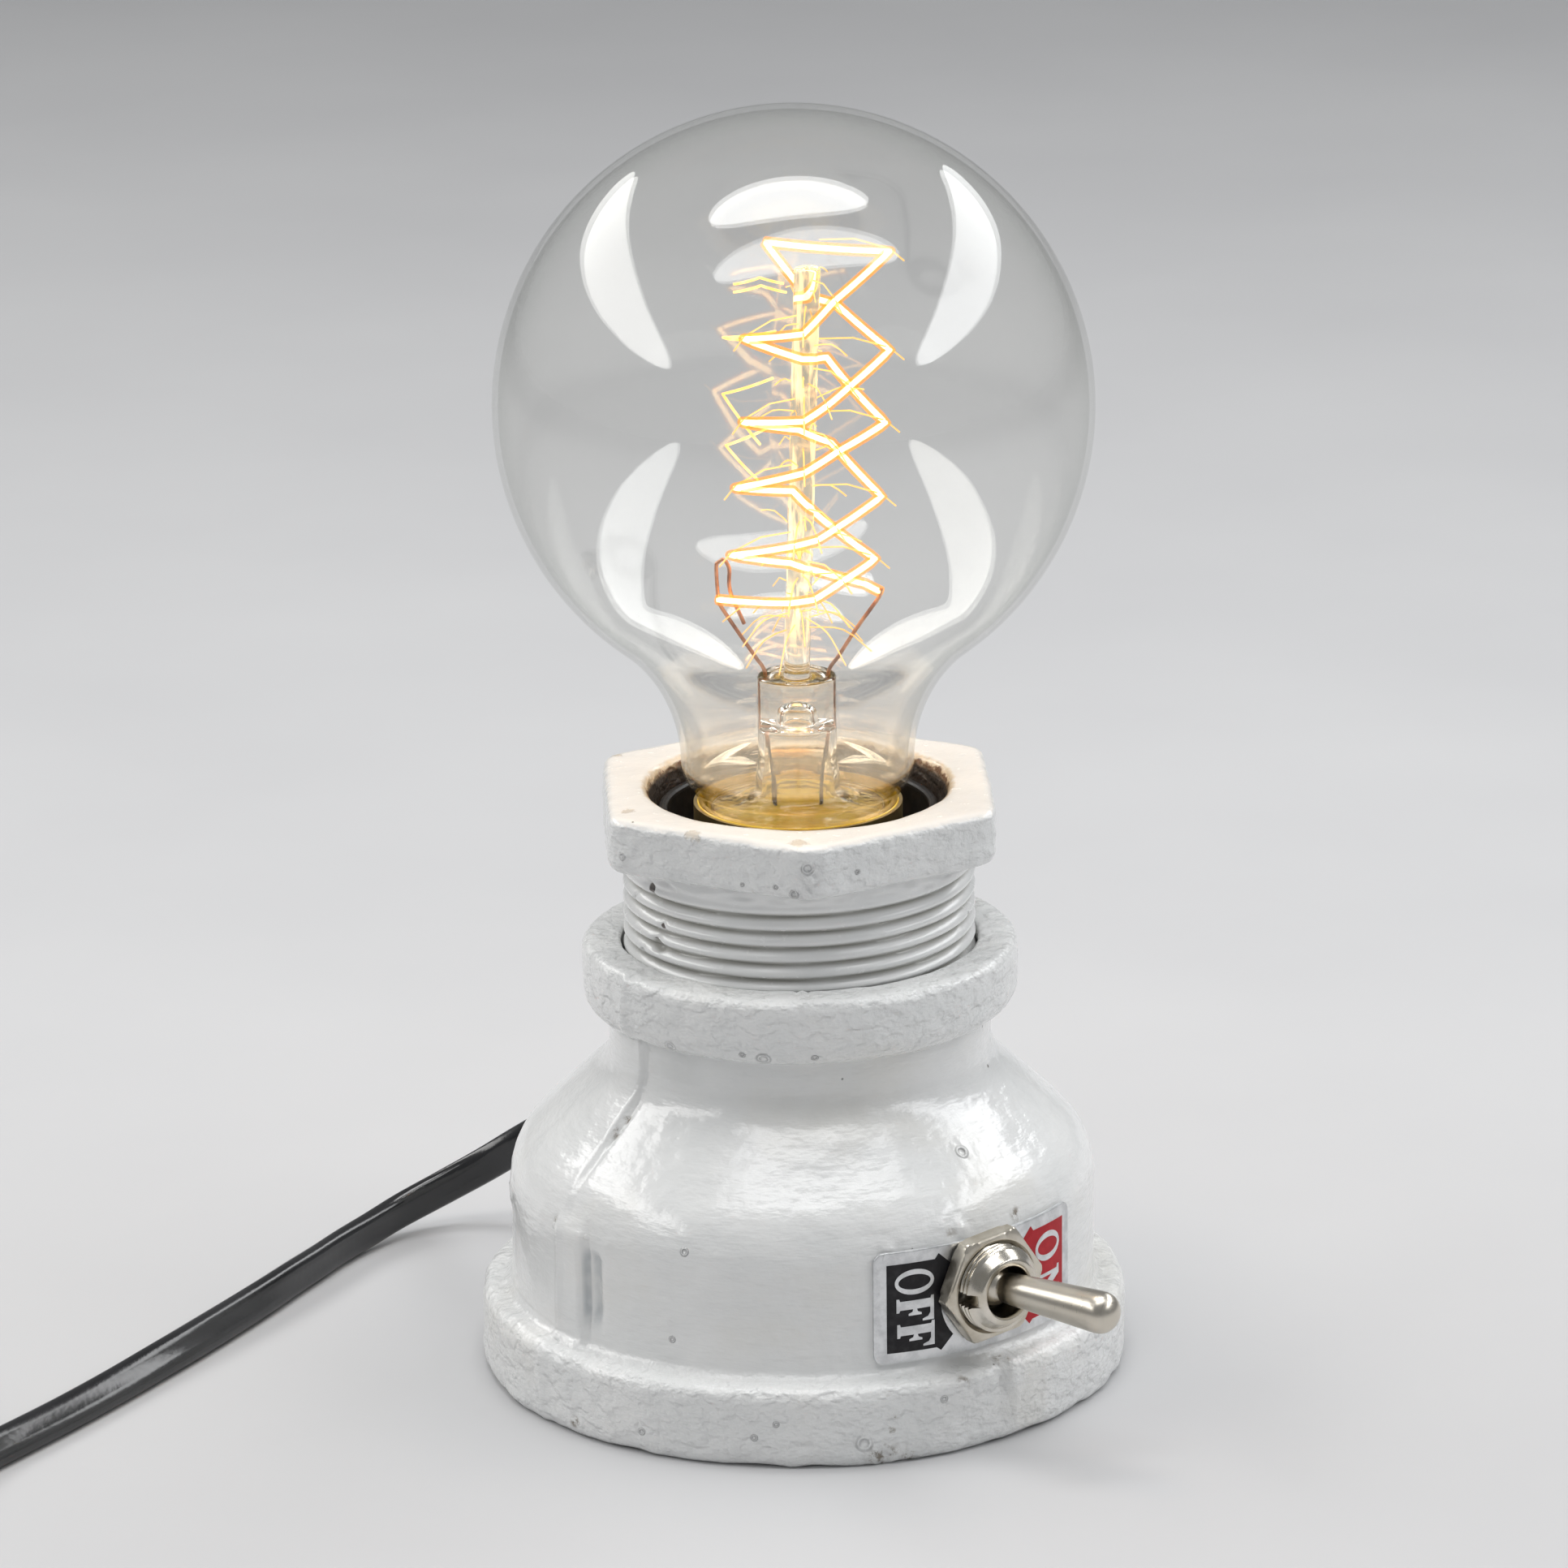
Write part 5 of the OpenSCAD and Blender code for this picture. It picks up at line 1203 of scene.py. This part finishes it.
def stamped(outlines, low, high):
    """A flat sheet from height low to high; the first outline is its edge, the others are holes."""
    form = bmesh.new()
    rims = []
    for outline in outlines:
        row = [form.verts.new((u, v, low)) for u, v in outline]
        rims += [form.edges.new(pair) for pair in zip(row, row[1:] + row[:1])]
    bmesh.ops.triangle_fill(form, use_beauty=True, use_dissolve=False, edges=rims)
    risen = bmesh.ops.extrude_face_region(form, geom=form.faces[:])["geom"]
    bmesh.ops.translate(form, vec=(0, 0, high - low),
                        verts=[item for item in risen if isinstance(item, bmesh.types.BMVert)])
    return form


def bent(form, name):
    """Cuts a flat form across so that it can bend, and wraps it round the body's front."""
    wide = [vert.co.x for vert in form.verts]
    for k in range(math.ceil(min(wide) / fold_width), math.floor(max(wide) / fold_width) + 1):
        bmesh.ops.bisect_plane(form, geom=form.verts[:] + form.edges[:] + form.faces[:], dist=1e-5,
                               plane_co=(fold_width * k, 0, 0), plane_no=(1, 0, 0))
    for vert in form.verts:
        u, v, proud = vert.co
        angle, radius = u / plate_face, plate_face + proud
        vert.co = (math.sin(angle) * radius * mm, -math.cos(angle) * radius * mm,
                   (switch_height + v) * mm)
    return mesh_of(form, name)


aluminium = Finish("legend_aluminium")
mottle = aluminium.grain(2.6 * mm, detail=5.0, roughness=0.65)
brushed = aluminium.grain(0.3 * mm, detail=2.0)
aluminium.surface(
    aluminium.blend(mottle.fade(0.35, 0.65), (0.60, 0.61, 0.62), (0.80, 0.81, 0.82)),
    0.26 + 0.18 * mottle + 0.06 * brushed, relief=brushed * 0.5 + mottle * 0.5, depth=0.025 * mm,
    Metallic=1.0)
hole = [(6.15 * math.cos(math.radians(7.5 * i)), 6.15 * math.sin(math.radians(7.5 * i)))
        for i in range(48)]
form = stamped([rounded((-16.65, -9.15), (17.65, 6.55), 1.5), hole], -0.5, 0)
edges = [edge for edge in form.edges if len(edge.link_faces) == 2
         and all(vert.co.z > -0.01 and vert.co.xy.length > 6.3 for vert in edge.verts)
         and abs(edge.link_faces[0].normal.dot(edge.link_faces[1].normal)) < 0.5]
bmesh.ops.bevel(form, geom=edges, offset=0.12, segments=2, profile=0.5, affect="EDGES", material=-1)
finished("bent_legend_plate", bent(form, "bent_legend_plate"), aluminium, "root",
         "legend_aluminium", "legend_plate", sharp=30)

printing = {}
for colour_name, colour, worn in (("black", (0.014, 0.013, 0.015), (0.035, 0.034, 0.036)),
                                  ("red", (0.44, 0.010, 0.018), (0.53, 0.022, 0.032))):
    ink = Finish(colour_name + "_print")
    coat = ink.grain(1.4 * mm, detail=3.0)
    ink.surface(ink.blend(coat.fade(0.4, 0.8), colour, worn), 0.38 + 0.15 * coat, relief=coat,
                depth=0.02 * mm, Specular_IOR_Level=0.25)
    printing[colour_name] = ink
field = [(-14.85, 4.85), (-14.85, -7.6), (-7.75, -7.7), (-7.1, -8.2), (-5.27, -6.25)]
field += [(u, v) for u, v, _ in bow(plate_middle, 7.6, 220, 140, 14)[1:-1]]
field += [(-5.27, 3.65), (-7.4, 5.6), (-7.95, 4.85)]
mirrored_field = [(2 * plate_middle[0] - u, v) for u, v in field[::-1]]
for name, outline, ink in (("off_field", field, "black"), ("on_field", mirrored_field, "red")):
    finished(name, bent(stamped([outline], -0.02, 0.03), name), printing[ink], "root",
             "legend_aluminium")


def oval(wide, high, thick, thin):
    """The letter O: an upright ring, thick at its sides and thin above and below."""
    centre = (wide / 2, high / 2)
    ways = [math.radians(10 * i) for i in range(36)]
    return [[(centre[0] + a * math.cos(w), centre[1] + b * math.sin(w)) for w in ways]
            for a, b in ((wide / 2, high / 2), (wide / 2 - thick, high / 2 - thin))]


letter_f = [[
    (0, 0), (1.95, 0), (1.95, 0.38), (1.62, 0.5), (1.62, 2.35), (2.0, 2.25), (2.22, 1.7),
    (2.5, 1.7), (2.5, 3.55), (2.22, 3.55), (2.0, 3.0), (1.62, 2.9), (1.62, 4.82), (2.4, 4.82),
    (2.9, 4.5), (3.18, 3.7), (3.45, 3.7), (3.45, 5.35), (0, 5.35), (0, 4.97), (0.38, 4.85),
    (0.38, 0.5), (0, 0.38),
]]
letter_n = [[
    (0, 0), (1.5, 0), (1.5, 0.36), (1.0, 0.5), (1.0, 3.7), (3.2, 0), (3.75, 0), (3.75, 4.9),
    (4.2, 5.05), (4.2, 5.45), (2.75, 5.45), (2.75, 5.05), (3.25, 4.9), (3.25, 2.0), (1.35, 5.45),
    (0, 5.45), (0, 5.05), (0.5, 4.9), (0.5, 0.5), (0, 0.36),
]]
# Each letter with its left edge's height on the plate and its foot's place round the body
for name, letter, left, foot in (
    ("off_first_letter", oval(3.55, 5.6, 0.72, 0.5), 3.92, -13.72),
    ("off_second_letter", letter_f, -0.08, -13.5), ("off_third_letter", letter_f, -3.68, -13.42),
    ("on_first_letter", oval(4.1, 5.6, 0.85, 0.55), 3.8, 9.35),
    ("on_second_letter", letter_n, -1.55, 9.4),
):
    turned_round = [[(foot + up, left - right) for right, up in outline] for outline in letter]
    finished(name, bent(stamped(turned_round, -0.02, 0.055), name), aluminium, "root",
             "legend_aluminium")


# ---- Leads ----
# Two insulated cores leave the relief inside the body. One runs to the lampholder, the other to
# the switch, and a third goes from the switch back up to the lampholder.
lead_skin = two_toned("lead_insulation", 2, (0.012, 0.012, 0.013), (0.03, 0.03, 0.032), 0.32, 0.15,
                      0.03)
for name, node, stops in (
    ("neutral_lead", "lead_neutral",
     ((0, 30, 20.3), (0, 24, 20.3), (-0.6, 18, 22.7), (-1.6, 11, 25.5), (-2.2, 4, 28),
      (-2.3, 1, 31), (-2.6, 0.5, 35), (-3.6, 0.2, 40.5), (-5.2, 0, 44.6), (-6.5, 0, 45.6))),
    ("live_lead", "lead_live",
     ((0, 30, 17.7), (0, 24, 17.7), (1.5, 18, 17), (3.5, 10, 17), (3.6, 2, 18), (2, -4, 20),
      (0.4, -7, 21.8), (0, -9.5, 21.8))),
    ("switched_lead", "lead_switched",
     ((-8.5, -9.5, 21.8), (-8.5, -7.1, 21.8), (-6.5, -5, 23.5), (-2.6, -3.5, 25.5), (1.2, -2, 28),
      (2.3, -1, 31), (2.6, -0.5, 35), (3.6, -0.2, 40.5), (5.2, 0, 44.6), (6.5, 0, 45.6))),
):
    line = [p.xyz * mm for p in eased([(*stop, 0) for stop in stops], 0.8)]
    finished(name, swept(name, line, round_section(1.05 * mm, 16)), lead_skin, "root", "black_pvc",
             node)


# ---- Floor and light ----
# A plain pale table top in soft studio light: a long soft box high on each side of the lamp, two
# above it, and a little warm light where the filament glows.
floor_form = bmesh.new()
bmesh.ops.create_grid(floor_form, x_segments=8, y_segments=8, size=4.0)
floor_mesh = bpy.data.meshes.new("table_top")
floor_form.to_mesh(floor_mesh)
floor_form.free()
table_top = bpy.data.objects.new("table_top", floor_mesh)
scene.collection.objects.link(table_top)
pale = Finish("pale_table_top")
cloudy = pale.grain(0.11, detail=4.0)
pale.surface(pale.blend(cloudy, (0.55, 0.55, 0.56), (0.62, 0.62, 0.625)), 0.55 + 0.1 * cloudy,
             Specular_IOR_Level=0.3)
floor_mesh.materials.append(pale.material)

sky = bpy.data.worlds.new("studio")
sky.use_nodes = True
backing = sky.node_tree.nodes["Background"]
backing.inputs["Color"].default_value = (0.86, 0.88, 0.90, 1.0)
backing.inputs["Strength"].default_value = 0.27
scene.world = sky


def soft_box(name, place, aim, wide, tall, power, colour):
    """An area lamp with round ends that stands at place and faces aim."""
    lamp = bpy.data.lights.new(name, "AREA")
    lamp.shape, lamp.size, lamp.size_y = "ELLIPSE", wide, tall
    lamp.energy, lamp.color = power, colour
    stand = bpy.data.objects.new(name, lamp)
    scene.collection.objects.link(stand)
    place = Vector(place)
    facing = (Vector(aim) - place).to_track_quat("-Z", "Y").to_matrix().to_4x4()
    stand.matrix_world = Matrix.Translation(place) @ facing


soft_box("left_soft_box", (-0.44, 0.52, 0.58), (0, 0, 0.10), 1.70, 0.22, 4.1, (1.0, 0.99, 0.97))
soft_box("right_soft_box", (0.62, -0.26, 0.58), (0, 0, 0.10), 1.70, 0.22, 4.2, (0.98, 0.99, 1.0))
soft_box("far_top_soft_box", (0.05, 0.10, 0.85), (0, 0, 0.06), 0.60, 0.25, 2.4, (1.0, 1.0, 1.0))
soft_box("near_top_soft_box", (-0.08, -0.19, 0.86), (0, 0, 0.06), 0.90, 0.24, 2.1, (1.0, 1.0, 1.0))
ember = bpy.data.lights.new("filament_light", "POINT")
ember.energy, ember.color, ember.shadow_soft_size = 0.055, (1.0, 0.66, 0.32), 0.015
ember_stand = bpy.data.objects.new("filament_light", ember)
scene.collection.objects.link(ember_stand)
ember_stand.location = (0, 0, 0.122)
ember_stand.visible_glossy = False
ember_stand.visible_transmission = False
